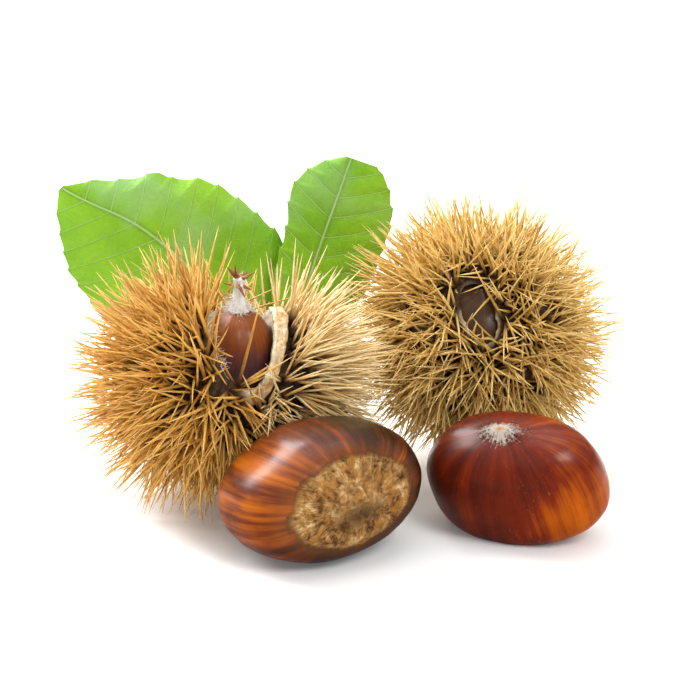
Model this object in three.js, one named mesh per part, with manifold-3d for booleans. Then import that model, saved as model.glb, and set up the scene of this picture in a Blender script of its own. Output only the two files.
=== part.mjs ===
// Sweet chestnuts: two loose nuts lying in front of two burs, one split open and one nearly closed,
// with two leaves standing behind them. Millimetres, +Z up, the nuts towards -Y and the leaves towards +Y.
// The group stands on z = 0, centred on its footprint.
import * as THREE from "three";
import { mergeVertices } from "three/addons/utils/BufferGeometryUtils.js";
import Module from "manifold-3d";

const wasm = await Module();
wasm.setup();

const vec = (x, y, z) => new THREE.Vector3(x, y, z);
const UP = vec(0, 0, 1);
const WELD = 1e-4; // corners nearer each other than this are one corner

// The middle of the arrangement's footprint, as laid out below. It becomes the origin.
const FOOTPRINT_MIDDLE = vec(-3.4, -5.7, 0);

// Nuts. tip is the way the pointed end faces, broad the way of the widest diameter.
const LEFT_NUT = {
  middle: vec(-6.2, -33.4, 12.7),
  tip: vec(-0.5, 0.857, -0.11),
  broad: vec(0.85, 0.52, 0.11),
  size: vec(40, 26, 30),
};
const RIGHT_NUT = {
  middle: vec(32.6, -26, 12.1),
  tip: vec(-0.28, -0.4, 0.87),
  broad: vec(0.9, -0.41, 0.1),
  size: vec(36, 24, 24.4),
};
const OPEN_BUR_NUT = {
  middle: vec(-22.6, -8, 30.5),
  tip: vec(0.03, 0, 1),
  broad: vec(0, 1, 0),
  size: vec(17, 15, 20.6),
};
const RIGHT_BUR_NUT = {
  middle: vec(27, 10, 30),
  tip: vec(0, -0.5, 0.86),
  broad: vec(1, 0, 0),
  size: vec(22, 22, 24),
};
const SIDE_FULLNESS = 0.84; // exponent below 1: fuller than an ellipsoid at the sides
const BASE_FLATNESS = 0.66; // the same for the base, which is flatter than the tip
const TIP_KNOB = { height: 1.3, spread: 0.14 };
const NUT_COLUMNS = 28;
const NUT_ROWS = 16;

// The felted neck that stands on the open bur's nut, as radius and height above the nut's middle.
const NECK_PROFILE = [
  [0, 8],
  [3.9, 8.8],
  [2.4, 10.6],
  [1.4, 12.8],
  [1, 16.4],
  [0, 16.6],
];
const NECK_SIDES = 12;
// Stigma points spread from the neck in tiers, each tier lower and steeper than the one before.
const STIGMA = { count: 8, tiers: 3, length: 3.4, radius: 0.32, root: 16, spacing: 0.35, rise: 0.35 };

// Husks: oval lobes grown together, hollowed to fit the nut, with a mouth cut through the skin.
const OPEN_HUSK = {
  middle: vec(-25, -8, 26),
  lobes: [
    { middle: vec(-27.5, -8, 26), radii: vec(15, 15, 13.6), spines: 130, length: 15 },
    { middle: vec(-16.5, -7.5, 27.5), radii: vec(8.6, 12.5, 13), spines: 90, length: 14 },
  ],
  mouth: {
    middle: vec(-22, -11, 41),
    radii: vec(6.6, 21, 14.5),
    tip: vec(-0.1, -0.12, 1),
    broad: vec(1, 0.1, 0),
  },
  seed: 11,
};
const RIGHT_HUSK = {
  middle: vec(27.3, 13.4, 29.3),
  lobes: [{ middle: vec(27.3, 13.4, 29.3), radii: vec(16.4, 16.4, 16.6), spines: 170, length: 10.4 }],
  mouth: {
    middle: vec(26, -0.4, 38.4),
    radii: vec(7.4, 3.2, 6),
    tip: vec(-0.076, -0.832, 0.55),
    broad: vec(0.32, -0.293, -0.9),
  },
  seed: 5,
};
const OVAL_COLUMNS = 28;
const OVAL_ROWS = 16;
const NUT_PLAY = 0.6; // clearance between a nut and the hollow it grew in
const SPINE = { radius: 0.62, sides: 3, sunk: 1.6, tilt: 0.3, lengthSpread: 0.22, shortest: 3 };
const PROP_SLOPE = -0.8; // a spine that points down more steeply than this grows until it stands on the floor

// Where one bur's spines end and the other's begin: a gap across the line between the two middles.
const BUR_GAP = { fromOpenBur: 29.5, halfWidth: 0.35 };
const NUT_CLEARANCE = 2; // between a spine and a loose nut's enclosing oval
const OWN_NUT_CLEARANCE = 1.2; // the same for the nut in the spine's own husk
const MOUTH_OVERHANG = 0.5; // how far past the mouth's edge a spine may lean
const PROBE_STEP = 0.4;

// Leaves. A leaf runs from its tip to its foot, bowed towards -Y, with each half's width in millimetres.
const LEFT_LEAF = {
  tip: vec(-61.5, 32, 55.5),
  foot: vec(-13, 27, 9),
  halfWidths: [19.2, 23],
  across: vec(0.7, 0.05, 0.72),
  stalkEnd: vec(-7, 27.5, 0.9),
  widestAt: 0.65,
  tipTaper: 3,
};
const RIGHT_LEAF = {
  tip: vec(1.2, 30, 62.6),
  foot: vec(-16, 23, 15),
  halfWidths: [10.2, 12.4],
  across: vec(0.96, 0.05, -0.3),
  stalkEnd: vec(-14, 23, 0.9),
  widestAt: 0.5,
  tipTaper: 6,
};
const LEAF = {
  thickness: 0.5,
  ribThickness: 1.1,
  teeth: 13,
  toothDepth: 0.06,
  bow: 1.6,
  cup: 3,
  endWidth: 0.5,
  footTaper: 2.2,
  columns: 8,
};
const STALK = { radius: 0.8, sides: 8, joints: 8, insideBlade: 0.12, bow: 0.6 };
const LEAF_FRONT = { y: 19.5, lean: 0.12, rightEnd: 12 }; // spines stay in front of this plane

const shellFinish = { color: 0x7a2c12, roughness: 0.25, metalness: 0 };
const dullShellFinish = { color: 0x4a3222, roughness: 0.5, metalness: 0 };
const huskFinish = { color: 0xb58a45, roughness: 0.85, metalness: 0 };
const leafFinish = { color: 0x6cb52a, roughness: 0.55, metalness: 0 };

// A repeatable stream of numbers from 0 to 1.
function seededRandom(seed) {
  let state = seed >>> 0;
  return () => {
    state = (Math.imul(state, 1664525) + 1013904223) >>> 0;
    return state / 2 ** 32;
  };
}

function solidFrom(geometry) {
  const bare = geometry.clone();
  bare.deleteAttribute("normal");
  bare.deleteAttribute("uv");
  const merged = mergeVertices(bare, WELD);
  const vertProperties = merged.attributes.position.array;
  const triVerts = new Uint32Array(merged.index.array);
  return new wasm.Manifold(new wasm.Mesh({ numProp: 3, vertProperties, triVerts }));
}

// The largest connected piece of a solid, as a geometry.
function geometryFrom(solid) {
  const largest = solid.decompose().reduce((a, b) => (a.volume() > b.volume() ? a : b));
  const { vertProperties, triVerts } = largest.getMesh();
  const geometry = new THREE.BufferGeometry();
  geometry.setAttribute("position", new THREE.BufferAttribute(vertProperties, 3));
  geometry.setIndex(new THREE.BufferAttribute(triVerts, 1));
  geometry.computeVertexNormals();
  return geometry;
}

function pieceMesh(name, geometry, finish) {
  const mesh = new THREE.Mesh(geometry, new THREE.MeshStandardMaterial(finish));
  mesh.name = name;
  return mesh;
}

// A sphere whose every point is moved to where pointAt puts its direction. Its poles are on Z.
function reshapedSphere(columns, rows, pointAt) {
  const geometry = new THREE.SphereGeometry(1, columns, rows).rotateX(Math.PI / 2);
  const { position } = geometry.attributes;
  const direction = vec(0, 0, 0);
  for (let i = 0; i < position.count; i++) {
    direction.fromBufferAttribute(position, i).normalize();
    position.setXYZ(i, ...pointAt(direction).toArray());
  }
  return geometry;
}

function oval(radii) {
  return reshapedSphere(OVAL_COLUMNS, OVAL_ROWS, (direction) => direction.clone().multiply(radii));
}

// Turns +Z to tip and, as nearly as it can, +X to broad.
function turnTo({ tip, broad }) {
  const zAxis = tip.clone().normalize();
  const xAxis = broad.clone().addScaledVector(zAxis, -broad.dot(zAxis)).normalize();
  const yAxis = zAxis.clone().cross(xAxis);
  return new THREE.Quaternion().setFromRotationMatrix(new THREE.Matrix4().makeBasis(xAxis, yAxis, zAxis));
}

// A nut about its middle: tip up, full at the sides, flatter at the base, with a small knob at the tip.
function nutGeometry({ size }, swell = 0) {
  const [breadth, thickness, height] = size.toArray().map((extent) => extent / 2 + swell);
  return reshapedSphere(NUT_COLUMNS, NUT_ROWS, (direction) => {
    const across = Math.hypot(direction.x, direction.y);
    const fullness = across > WELD ? across ** (SIDE_FULLNESS - 1) : 0;
    const belowMiddle = -(Math.abs(direction.z) ** BASE_FLATNESS);
    const rise = direction.z < 0 ? belowMiddle : direction.z;
    const knob = direction.z > 0 ? TIP_KNOB.height * Math.exp(-((across / TIP_KNOB.spread) ** 2)) : 0;
    return vec(direction.x * fullness * breadth, direction.y * fullness * thickness, rise * height + knob);
  });
}

// Presses flat whatever of a placed shape would be below z = 0.
function flattenOnFloor(geometry, { middle, tip, broad }) {
  const up = UP.clone().applyQuaternion(turnTo({ tip, broad }).invert());
  const { position } = geometry.attributes;
  const point = vec(0, 0, 0);
  for (let i = 0; i < position.count; i++) {
    point.fromBufferAttribute(position, i);
    const height = middle.z + point.dot(up);
    if (height < 0) point.addScaledVector(up, -height);
    position.setXYZ(i, ...point.toArray());
  }
  return geometry;
}

function placedNut(name, nut, geometry, finish) {
  const mesh = pieceMesh(name, geometry, finish);
  mesh.position.copy(nut.middle);
  mesh.quaternion.copy(turnTo(nut));
  return mesh;
}

function looseNut(name, nut) {
  return placedNut(name, nut, flattenOnFloor(nutGeometry(nut), nut), shellFinish);
}

// The nut in the open bur keeps its neck and the stigma points that spread from the neck's top.
function neckedNutGeometry(nut) {
  const profile = NECK_PROFILE.map(([radius, height]) => new THREE.Vector2(radius, height));
  const neck = new THREE.LatheGeometry(profile, NECK_SIDES).rotateX(Math.PI / 2);
  let solid = solidFrom(nutGeometry(nut)).add(solidFrom(neck));
  for (let i = 0; i < STIGMA.count; i++) {
    const turn = (i / STIGMA.count) * 2 * Math.PI;
    const tier = i % STIGMA.tiers;
    const direction = vec(Math.cos(turn), Math.sin(turn), STIGMA.rise * (1 + tier)).normalize();
    const root = vec(0, 0, STIGMA.root - STIGMA.spacing * tier);
    solid = solid.add(solidFrom(coneAlong(root, direction, STIGMA.length, STIGMA.radius, SPINE.sides)));
  }
  return geometryFrom(solid);
}

// A cone whose base is centred on root and whose point is at length along direction.
function coneAlong(root, direction, length, radius, sides) {
  const cone = new THREE.ConeGeometry(radius, length, sides).translate(0, length / 2, 0);
  const turn = new THREE.Quaternion().setFromUnitVectors(vec(0, 1, 0), direction);
  return cone.applyQuaternion(turn).translate(root.x, root.y, root.z);
}

// How far a point is from the middle of an oval, counting its skin as 1.
function ovalReach(point, oval, clearance) {
  const local = point.clone().sub(oval.middle);
  if (oval.tip) local.applyQuaternion(turnTo(oval).invert());
  return local.divide(oval.radii.clone().addScalar(clearance)).length();
}

function isNearNut(point, nut, clearance) {
  const radii = nut.size.clone().multiplyScalar(0.5);
  return ovalReach(point, { ...nut, radii }, clearance) < 1;
}

const betweenBurs = RIGHT_HUSK.middle.clone().sub(OPEN_HUSK.middle).setZ(0);
const burSpacing = betweenBurs.length();
betweenBurs.normalize();

// True where a spine of this bur may be: clear of the nuts, the leaves and the other bur's spines.
function isClear(point, husk, ownNut) {
  const alongLine = point.clone().sub(OPEN_HUSK.middle).dot(betweenBurs);
  const gapEdge = BUR_GAP.fromOpenBur - BUR_GAP.halfWidth;
  const ownSide = husk === OPEN_HUSK ? alongLine : burSpacing - alongLine;
  const ownLimit = husk === OPEN_HUSK ? gapEdge : burSpacing - BUR_GAP.fromOpenBur - BUR_GAP.halfWidth;
  const leafFront = LEAF_FRONT.y + LEAF_FRONT.lean * point.z;
  const behindLeaf = point.x < LEAF_FRONT.rightEnd && point.y > leafFront;
  return (
    ownSide < ownLimit &&
    !behindLeaf &&
    !isNearNut(point, LEFT_NUT, NUT_CLEARANCE) &&
    !isNearNut(point, RIGHT_NUT, NUT_CLEARANCE) &&
    !isNearNut(point, ownNut, OWN_NUT_CLEARANCE) &&
    ovalReach(point, husk.mouth, -MOUTH_OVERHANG) > 1
  );
}

// The length a spine can grow from root before it meets something, or the floor, which it just touches.
function clearLength(root, direction, wanted, husk, ownNut) {
  const toFloor = direction.z < 0 ? -root.z / direction.z : Infinity;
  const limit = Math.min(wanted, toFloor);
  for (let length = 0; length < limit; length += PROBE_STEP) {
    const point = root.clone().addScaledVector(direction, length);
    if (!isClear(point, husk, ownNut)) return length - PROBE_STEP;
  }
  return limit;
}

// Spines set evenly over a lobe of a husk, each leaning a little its own way, in the husk's own frame.
function spineSolids(lobe, husk, ownNut, random) {
  const goldenTurn = Math.PI * (3 - Math.sqrt(5));
  const eitherWay = () => 2 * random() - 1;
  const solids = [];
  for (let i = 0; i < lobe.spines; i++) {
    const height = 1 - (2 * i + 1) / lobe.spines;
    const ring = Math.sqrt(1 - height * height);
    const way = vec(ring * Math.cos(i * goldenTurn), ring * Math.sin(i * goldenTurn), height);
    const lean = vec(eitherWay(), eitherWay(), eitherWay()).multiplyScalar(SPINE.tilt);
    const direction = way.clone().divide(lobe.radii).normalize().add(lean).normalize();
    const skin = way.multiply(lobe.radii).add(lobe.middle);
    const root = skin.clone().addScaledVector(direction, -SPINE.sunk);
    const grown = lobe.length * (1 + SPINE.lengthSpread * eitherWay()) + SPINE.sunk;
    const wanted = direction.z < PROP_SLOPE ? Infinity : grown;
    const length = clearLength(root, direction, wanted, husk, ownNut);
    const isBuried = husk.lobes.some((other) => other !== lobe && ovalReach(skin, other, 0) < 1);
    if (length > SPINE.shortest + SPINE.sunk && !isBuried) {
      root.sub(husk.middle);
      solids.push(solidFrom(coneAlong(root, direction, length, SPINE.radius, SPINE.sides)));
    }
  }
  return solids;
}

// A shape turned and set into a husk's own frame, which has the husk's middle as its origin.
function setInHusk(geometry, { middle, tip, broad }, huskMiddle) {
  const place = middle.clone().sub(huskMiddle);
  return solidFrom(geometry.applyQuaternion(turnTo({ tip, broad })).translate(place.x, place.y, place.z));
}

function huskGeometry(husk, nut) {
  const hollow = setInHusk(nutGeometry(nut, NUT_PLAY), nut, husk.middle);
  const mouth = setInHusk(oval(husk.mouth.radii), husk.mouth, husk.middle);
  const random = seededRandom(husk.seed);
  const lobes = husk.lobes.map((lobe) => {
    const place = lobe.middle.clone().sub(husk.middle);
    return solidFrom(oval(lobe.radii).translate(...place.toArray()));
  });
  let solid = lobes.reduce((a, b) => a.add(b)).subtract(hollow).subtract(mouth);
  for (const lobe of husk.lobes) {
    for (const spine of spineSolids(lobe, husk, nut, random)) solid = solid.add(spine);
  }
  return geometryFrom(solid);
}

// A bur: its husk, with its nut in the hollow.
function bur(husk, nut) {
  const group = new THREE.Group();
  group.position.copy(husk.shape.middle);
  const nutMesh = placedNut(nut.name, nut.shape, nut.geometry, nut.finish);
  nutMesh.position.sub(husk.shape.middle);
  group.add(pieceMesh(husk.name, huskGeometry(husk.shape, nut.shape), huskFinish), nutMesh);
  return group;
}

// The share of its full width that a leaf has at a share of its length, 0 at the tip and 1 at the foot.
function leafSpread(along, { widestAt, tipTaper }) {
  if (along < widestAt) return 1 - (1 - along / widestAt) ** tipTaper;
  return 1 - ((along - widestAt) / (1 - widestAt)) ** LEAF.footTaper;
}

// A leaf about its tip: two skins that meet at the toothed margin, thicker along the midrib, and a stalk.
function leafGeometry(shape) {
  const { tip, foot, halfWidths, across, stalkEnd } = shape;
  const rows = 2 * LEAF.teeth;
  const length = foot.clone().sub(tip);
  const side = across.clone().addScaledVector(length, -across.dot(length) / length.lengthSq()).normalize();
  const front = side.clone().cross(length).normalize();
  if (front.y > 0) front.negate();
  const skins = [1, -1].map((face) => {
    const points = [];
    for (let row = 0; row <= rows; row++) {
      const along = row / rows;
      const spread = leafSpread(along, shape);
      const tooth = 1 + (row % 2 ? LEAF.toothDepth : -LEAF.toothDepth);
      for (let column = 0; column <= LEAF.columns; column++) {
        const u = (2 * column) / LEAF.columns - 1;
        const half = halfWidths[u < 0 ? 0 : 1];
        const reach = Math.abs(u) === 1 ? tooth : 1;
        const width = LEAF.endWidth + half * spread * reach;
        const rib = Math.max(0, 1 - Math.abs(u) * LEAF.columns) * (LEAF.ribThickness - LEAF.thickness);
        const depth = LEAF.bow * Math.sin(Math.PI * along) - LEAF.cup * u * u * spread;
        const offset = depth + (face * (LEAF.thickness + rib)) / 2;
        const point = length.clone().multiplyScalar(along).addScaledVector(side, u * width);
        points.push(point.addScaledVector(front, offset));
      }
    }
    return points;
  });
  const blade = solidFrom(closedSheet(skins[0], skins[1], rows, LEAF.columns));
  return geometryFrom(blade.add(stalkSolid(foot.clone().sub(tip), stalkEnd.clone().sub(tip), front)));
}

// Joins two grids of points, facing out on both sides, into one closed body.
function closedSheet(frontPoints, backPoints, rows, columns) {
  const points = [...frontPoints, ...backPoints];
  const across = columns + 1;
  const indices = [];
  const quad = (a, b, c, d) => indices.push(a, b, c, a, c, d);
  for (let row = 0; row < rows; row++) {
    for (let column = 0; column < columns; column++) {
      const a = row * across + column;
      const back = a + frontPoints.length;
      quad(a, a + 1, a + across + 1, a + across);
      quad(back, back + across, back + across + 1, back + 1);
    }
  }
  const edge = [];
  for (let column = 0; column < columns; column++) edge.push(column);
  for (let row = 0; row < rows; row++) edge.push(row * across + columns);
  for (let column = columns; column > 0; column--) edge.push(rows * across + column);
  for (let row = rows; row > 0; row--) edge.push(row * across);
  edge.forEach((from, i) => {
    const to = edge[(i + 1) % edge.length];
    quad(to, from, from + frontPoints.length, to + frontPoints.length);
  });
  const geometry = new THREE.BufferGeometry().setFromPoints(points).setIndex(indices);
  return signedVolume(geometry) < 0 ? turnedInsideOut(geometry) : geometry;
}

function signedVolume(geometry) {
  const { position } = geometry.attributes;
  const corner = (i) => vec(0, 0, 0).fromBufferAttribute(position, geometry.index.getX(i));
  let volume = 0;
  for (let i = 0; i < geometry.index.count; i += 3) {
    volume += corner(i).dot(corner(i + 1).cross(corner(i + 2))) / 6;
  }
  return volume;
}

function turnedInsideOut(geometry) {
  return geometry.setIndex([...geometry.index.array].reverse());
}

// The stalk: a thin round stem from just inside the leaf's foot down to the ground, bowed a little.
function stalkSolid(foot, end, front) {
  const stem = end.clone().sub(foot);
  const start = foot.clone().addScaledVector(stem, -STALK.insideBlade);
  const bend = foot.clone().lerp(end, 0.5).addScaledVector(front, -STALK.bow);
  const path = new THREE.CatmullRomCurve3([start, bend, end]);
  const section = new THREE.Shape().absarc(0, 0, STALK.radius, 0, 2 * Math.PI);
  const settings = { steps: STALK.joints, curveSegments: STALK.sides, extrudePath: path };
  return solidFrom(new THREE.ExtrudeGeometry(section, settings));
}

function leaf(name, shape) {
  const mesh = pieceMesh(name, leafGeometry(shape), leafFinish);
  mesh.position.copy(shape.tip);
  return mesh;
}

const openHusk = { name: "open_bur_husk", shape: OPEN_HUSK };
const openNut = {
  name: "open_bur_nut",
  shape: OPEN_BUR_NUT,
  geometry: neckedNutGeometry(OPEN_BUR_NUT),
  finish: shellFinish,
};
const rightHusk = { name: "right_bur_husk", shape: RIGHT_HUSK };
const rightNut = {
  name: "right_bur_nut",
  shape: RIGHT_BUR_NUT,
  geometry: nutGeometry(RIGHT_BUR_NUT),
  finish: dullShellFinish,
};

const chestnuts = new THREE.Group();
chestnuts.add(
  looseNut("left_nut", LEFT_NUT),
  looseNut("right_nut", RIGHT_NUT),
  bur(openHusk, openNut),
  bur(rightHusk, rightNut),
  leaf("left_leaf", LEFT_LEAF),
  leaf("right_leaf", RIGHT_LEAF),
);
chestnuts.position.copy(FOOTPRINT_MIDDLE).negate();

export default chestnuts;
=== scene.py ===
"""Sweet chestnuts: two loose nuts in front of a split bur, a nearly closed bur and two leaves.

Shapes are worked out in millimetres in the same layout as the CAD part, then set down in metres in its frame.
"""
import math

import bpy
import numpy as np
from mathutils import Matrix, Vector, noise


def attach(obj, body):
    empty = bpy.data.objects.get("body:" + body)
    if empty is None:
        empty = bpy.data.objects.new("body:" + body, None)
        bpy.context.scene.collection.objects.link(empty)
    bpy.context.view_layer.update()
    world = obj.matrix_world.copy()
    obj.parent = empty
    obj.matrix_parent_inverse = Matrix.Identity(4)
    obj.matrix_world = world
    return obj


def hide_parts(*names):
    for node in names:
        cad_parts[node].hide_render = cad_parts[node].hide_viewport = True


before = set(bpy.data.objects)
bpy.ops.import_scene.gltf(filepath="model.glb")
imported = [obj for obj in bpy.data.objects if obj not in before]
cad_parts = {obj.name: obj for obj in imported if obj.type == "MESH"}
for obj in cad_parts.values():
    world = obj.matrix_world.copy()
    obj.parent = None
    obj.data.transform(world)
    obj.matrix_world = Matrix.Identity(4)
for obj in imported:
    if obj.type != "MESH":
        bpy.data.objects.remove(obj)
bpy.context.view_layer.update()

MM = 0.001
STAND = np.array([3.4, 5.7, 0.0])  # moves the layout so that its footprint is centred on the origin
FLOOR_SKIN = 0.02  # visible pieces stay this far above the floor, in millimetres

# ---------------------------------------------------------------------------------------------------------
# The layout, in millimetres
# ---------------------------------------------------------------------------------------------------------

# Each nut: its middle, which way its tip and its broad side look, its breadth, thickness and height, the
# half sizes of its base scar, how far the down reaches from its tip, how streaked it is and the seed of its
# unevenness. Fullness and base take the place of the two exponents that follow, where a nut has its own, and
# crown is the same for the half towards the tip.
LEFT_NUT = dict(
    middle=(-6.2, -33.4, 12.7), tip=(-0.5, 0.857, -0.11), broad=(0.85, 0.52, 0.11), size=(40, 26, 30),
    scar=(13.4, 8.9), down=4.2, stripes=1.0, seed=2.0,
)
RIGHT_NUT = dict(
    middle=(32.6, -26, 12.1), tip=(-0.28, -0.4, 0.87), broad=(0.9, -0.41, 0.1), size=(36, 24, 24.4),
    fullness=0.62, base=0.56, crown=0.92, scar=(11, 7.4), down=6.4, stripes=0.2, seed=6.0,
)
OPEN_BUR_NUT = dict(
    middle=(-22.6, -8, 30.5), tip=(0.03, 0, 1), broad=(0, 1, 0), size=(17, 15, 20.6),
    scar=(5, 4.4), down=4.4, stripes=0.5, seed=9.0,
)
RIGHT_BUR_NUT = dict(
    middle=(27, 10, 30), tip=(0, -0.5, 0.86), broad=(1, 0, 0), size=(22, 22, 24),
    scar=(6, 6), down=0.5, stripes=0.5, seed=4.0,
)
SIDE_FULLNESS = 0.84  # exponent on the breadth: under 1 makes the sides fuller than an oval's
BASE_FLATNESS = 0.66  # exponent on the height of the base: under 1 makes it flatter than an oval's
TIP_KNOB = 1.3  # height of the small knob at the tip

LEFT_VALVE = dict(middle=(-27.5, -8, 26), radii=(15, 15, 13.6))
RIGHT_VALVE = dict(middle=(-16.5, -7.5, 27.5), radii=(8.6, 12.5, 13))
OPEN_MOUTH = dict(middle=(-22, -11, 41), radii=(6.6, 21, 14.5), tip=(-0.1, -0.12, 1), broad=(1, 0.1, 0))
CLOSED_HUSK = dict(middle=(27.3, 13.4, 29.3), radii=(16.4, 16.4, 16.6))
SLIT = dict(
    middle=(26, -0.4, 38.4), radii=(7.4, 3.2, 6), tip=(-0.076, -0.832, 0.55), broad=(0.32, -0.293, -0.9),
)
NUT_PLAY = 0.6  # room round a nut in its husk
OPEN_BUR_MIDDLE = (-25.0, -8.0, 26.0)
BUR_PARTING = 30.5  # how far from the open bur, towards the closed one, its bristles stop
BUR_MESHING = 4.5  # how far the closed bur's bristles reach in between them

# Each leaf's outline: how far its midrib is off the straight line from tip to foot, and how wide it is on
# its lower and its upper side, against the distance from the tip.
LEFT_LEAF = dict(
    tip=(-62.3, 32, 55.8), foot=(-13, 27, 9), across=(0.7, 0.05, 0.72), stalk_end=(-7, 27.5, 0.9), seed=3,
    midrib=((0, 0), (8, 2.6), (15, 5.4), (22, 6.6), (31, 6.9), (50, 4.5), (68, 0)),
    lower=((0, 0.4), (2.5, 4.3), (7.9, 8.6), (13.8, 12.6), (19.5, 13.8), (35, 17), (45, 17), (57, 11),
           (68, 0.4)),
    upper=((0, 0.4), (3.8, 6.2), (6.7, 8.8), (10.1, 12.1), (12.6, 16.6), (16.9, 18.5), (20.1, 21.9),
           (25.4, 24.2), (32, 25), (40, 25.2), (50, 22), (60, 12), (68, 0.4)),
    vein_spacing=5.6,
)
RIGHT_LEAF = dict(
    tip=(1.2, 30, 62.6), foot=(-16, 23, 15), across=(0.96, 0.05, -0.3), stalk_end=(-14, 23, 0.9), seed=8,
    midrib=((0, -1), (20, -1.2), (35, -0.8), (51, 0)),
    lower=((0, 1.5), (1, 4), (2.4, 6), (4.5, 8.4), (8, 10.4), (11.4, 10.7), (16.7, 9.7), (28, 8.2), (38, 6),
           (51, 0.4)),
    upper=((0, 4.6), (0.6, 6), (3.3, 9), (8.5, 11.6), (15, 12.3), (25, 12), (35, 9.5), (44, 5), (51, 0.4)),
    vein_spacing=4.5,
)

# ---------------------------------------------------------------------------------------------------------
# Colours, and how bristles and down grow
# ---------------------------------------------------------------------------------------------------------

# Shell: colours of its streaks, how rough it is, how strongly it is banded and how much clear gloss it has.
MAHOGANY = dict(
    dark=(0.03, 0.005, 0.003), red=(0.15, 0.015, 0.003), amber=(0.43, 0.087, 0.001), gloss=0.3, banding=1.0,
    shine=0.42,
)
COPPER = dict(
    dark=(0.018, 0.006, 0.003), red=(0.14, 0.025, 0.004), amber=(0.44, 0.105, 0.004), gloss=0.3, banding=2.0,
    shine=0.62,
)
FRESH = dict(
    dark=(0.06, 0.026, 0.032), red=(0.16, 0.038, 0.01), amber=(0.26, 0.07, 0.006), gloss=0.36, banding=1.0,
    shine=0.4,
)
DULL = dict(
    dark=(0.05, 0.03, 0.014), red=(0.12, 0.06, 0.03), amber=(0.2, 0.1, 0.05), gloss=0.45, banding=0.7,
    shine=0.4,
)

# Bristle: its colour at the root, of the darker and the lighter ones further up, and at the tip.
# The husk bristles are dark at the root partly in their own colour and partly with painted shade down among
# them.
GOLDEN = dict(
    root=(0.11, 0.038, 0.011), middle=(0.47, 0.22, 0.03), light=(0.82, 0.5, 0.115), tip=(0.8, 0.46, 0.13),
)
CREAM = dict(
    root=(0.16, 0.07, 0.03), middle=(0.72, 0.47, 0.17), light=(0.95, 0.8, 0.45), tip=(0.9, 0.66, 0.32),
)
STRAW = dict(
    root=(0.11, 0.045, 0.015), middle=(0.57, 0.34, 0.07), light=(0.94, 0.68, 0.25), tip=(0.88, 0.61, 0.22),
)
STIGMA = dict(
    root=(0.3, 0.13, 0.06), middle=(0.2, 0.06, 0.02), light=(0.4, 0.15, 0.05), tip=(0.16, 0.04, 0.015),
)
FELT = (0.85, 0.83, 0.8)
DOWN = (0.88, 0.85, 0.8)

# Growth, in millimetres: the mark that says where it grows, how far apart and how many needles to a root,
# their size, how wild they are, which way they lean and how much they curl.
GOLDEN_GROWTH = dict(
    grows="bristled", spacing=2.05, per_root=6, longest=19, shortest=9.5, root_radius=0.33, spread=0.85,
    comb=(-0.28, -0.12, -0.05), curl=0.6, seed=4,
)
CREAM_GROWTH = dict(
    grows="fanned", spacing=2.0, per_root=6, longest=19, shortest=12, root_radius=0.32, spread=0.5,
    comb=(0.5, -0.15, 0.05), curl=0.5, seed=6,
)
STRAW_GROWTH = dict(
    grows="bristled", spacing=2.0, per_root=7, longest=17.5, shortest=8.5, root_radius=0.29, spread=0.85,
    comb=(-0.12, -0.1, -0.1), curl=0.7, seed=9,
)
LINING_DOWN_GROWTH = dict(
    grows="downy", spacing=0.6, per_root=3, longest=2.4, shortest=1.0, root_radius=0.06, spread=1.2,
    comb=(0.2, -0.3, 0.9), curl=0.7, seed=12,
)
NECK_DOWN_GROWTH = dict(
    grows="downy", spacing=0.4, per_root=4, longest=2.8, shortest=0.9, root_radius=0.045, spread=0.6,
    comb=(0.0, 0.0, -0.75), curl=0.4, seed=15,
)

# ---------------------------------------------------------------------------------------------------------
# Camera, light and floor
# ---------------------------------------------------------------------------------------------------------

CAMERA_DISTANCE = 450 * MM
CAMERA_ELEVATION = math.radians(18)
CAMERA_AIM_HEIGHT = 29.6
FIELD_WIDTH = 143.5 * MM  # the width that the camera sees at its aim
SENSOR_WIDTH = 36
LIGHT_AIM_HEIGHT = 25
TABLE_REACH = 4000  # half the width of the white table


def aim(thing, place, target):
    thing.location = place
    thing.rotation_mode = "QUATERNION"
    thing.rotation_quaternion = (Vector(target) - Vector(place)).to_track_quat("-Z", "Y")


def add_camera():
    data = bpy.data.cameras.new("camera")
    data.sensor_width = SENSOR_WIDTH
    data.lens = SENSOR_WIDTH * CAMERA_DISTANCE / FIELD_WIDTH
    data.clip_start = 10 * MM
    camera = bpy.data.objects.new("camera", data)
    bpy.context.scene.collection.objects.link(camera)
    target = Vector((STAND[0], STAND[1], CAMERA_AIM_HEIGHT)) * MM
    back = Vector((0, -math.cos(CAMERA_ELEVATION), math.sin(CAMERA_ELEVATION)))
    aim(camera, target + back * CAMERA_DISTANCE, target)
    bpy.context.scene.camera = camera


def add_softbox(name, direction, distance, size, power):
    data = bpy.data.lights.new(name, "AREA")
    data.shape = "RECTANGLE"
    data.size, data.size_y = size
    data.energy = power
    light = bpy.data.objects.new(name, data)
    bpy.context.scene.collection.objects.link(light)
    target = Vector((0, 0, LIGHT_AIM_HEIGHT * MM))
    aim(light, target + Vector(direction).normalized() * distance, target)


def add_daylight(overhead, horizon):
    """A white sky, brighter overhead than at the horizon."""
    world = bpy.data.worlds.new("studio")
    world.use_nodes = True
    nodes, links = world.node_tree.nodes, world.node_tree.links
    direction = nodes.new("ShaderNodeTexCoord")
    split = nodes.new("ShaderNodeSeparateXYZ")
    height = nodes.new("ShaderNodeMapRange")
    height.inputs["To Min"].default_value = horizon
    height.inputs["To Max"].default_value = overhead
    links.new(direction.outputs["Generated"], split.inputs[0])
    links.new(split.outputs["Z"], height.inputs["Value"])
    links.new(height.outputs["Result"], nodes["Background"].inputs["Strength"])
    nodes["Background"].inputs["Color"].default_value = (1, 1, 1, 1)
    bpy.context.scene.world = world


# ---------------------------------------------------------------------------------------------------------
# Shader writing
# ---------------------------------------------------------------------------------------------------------


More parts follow.
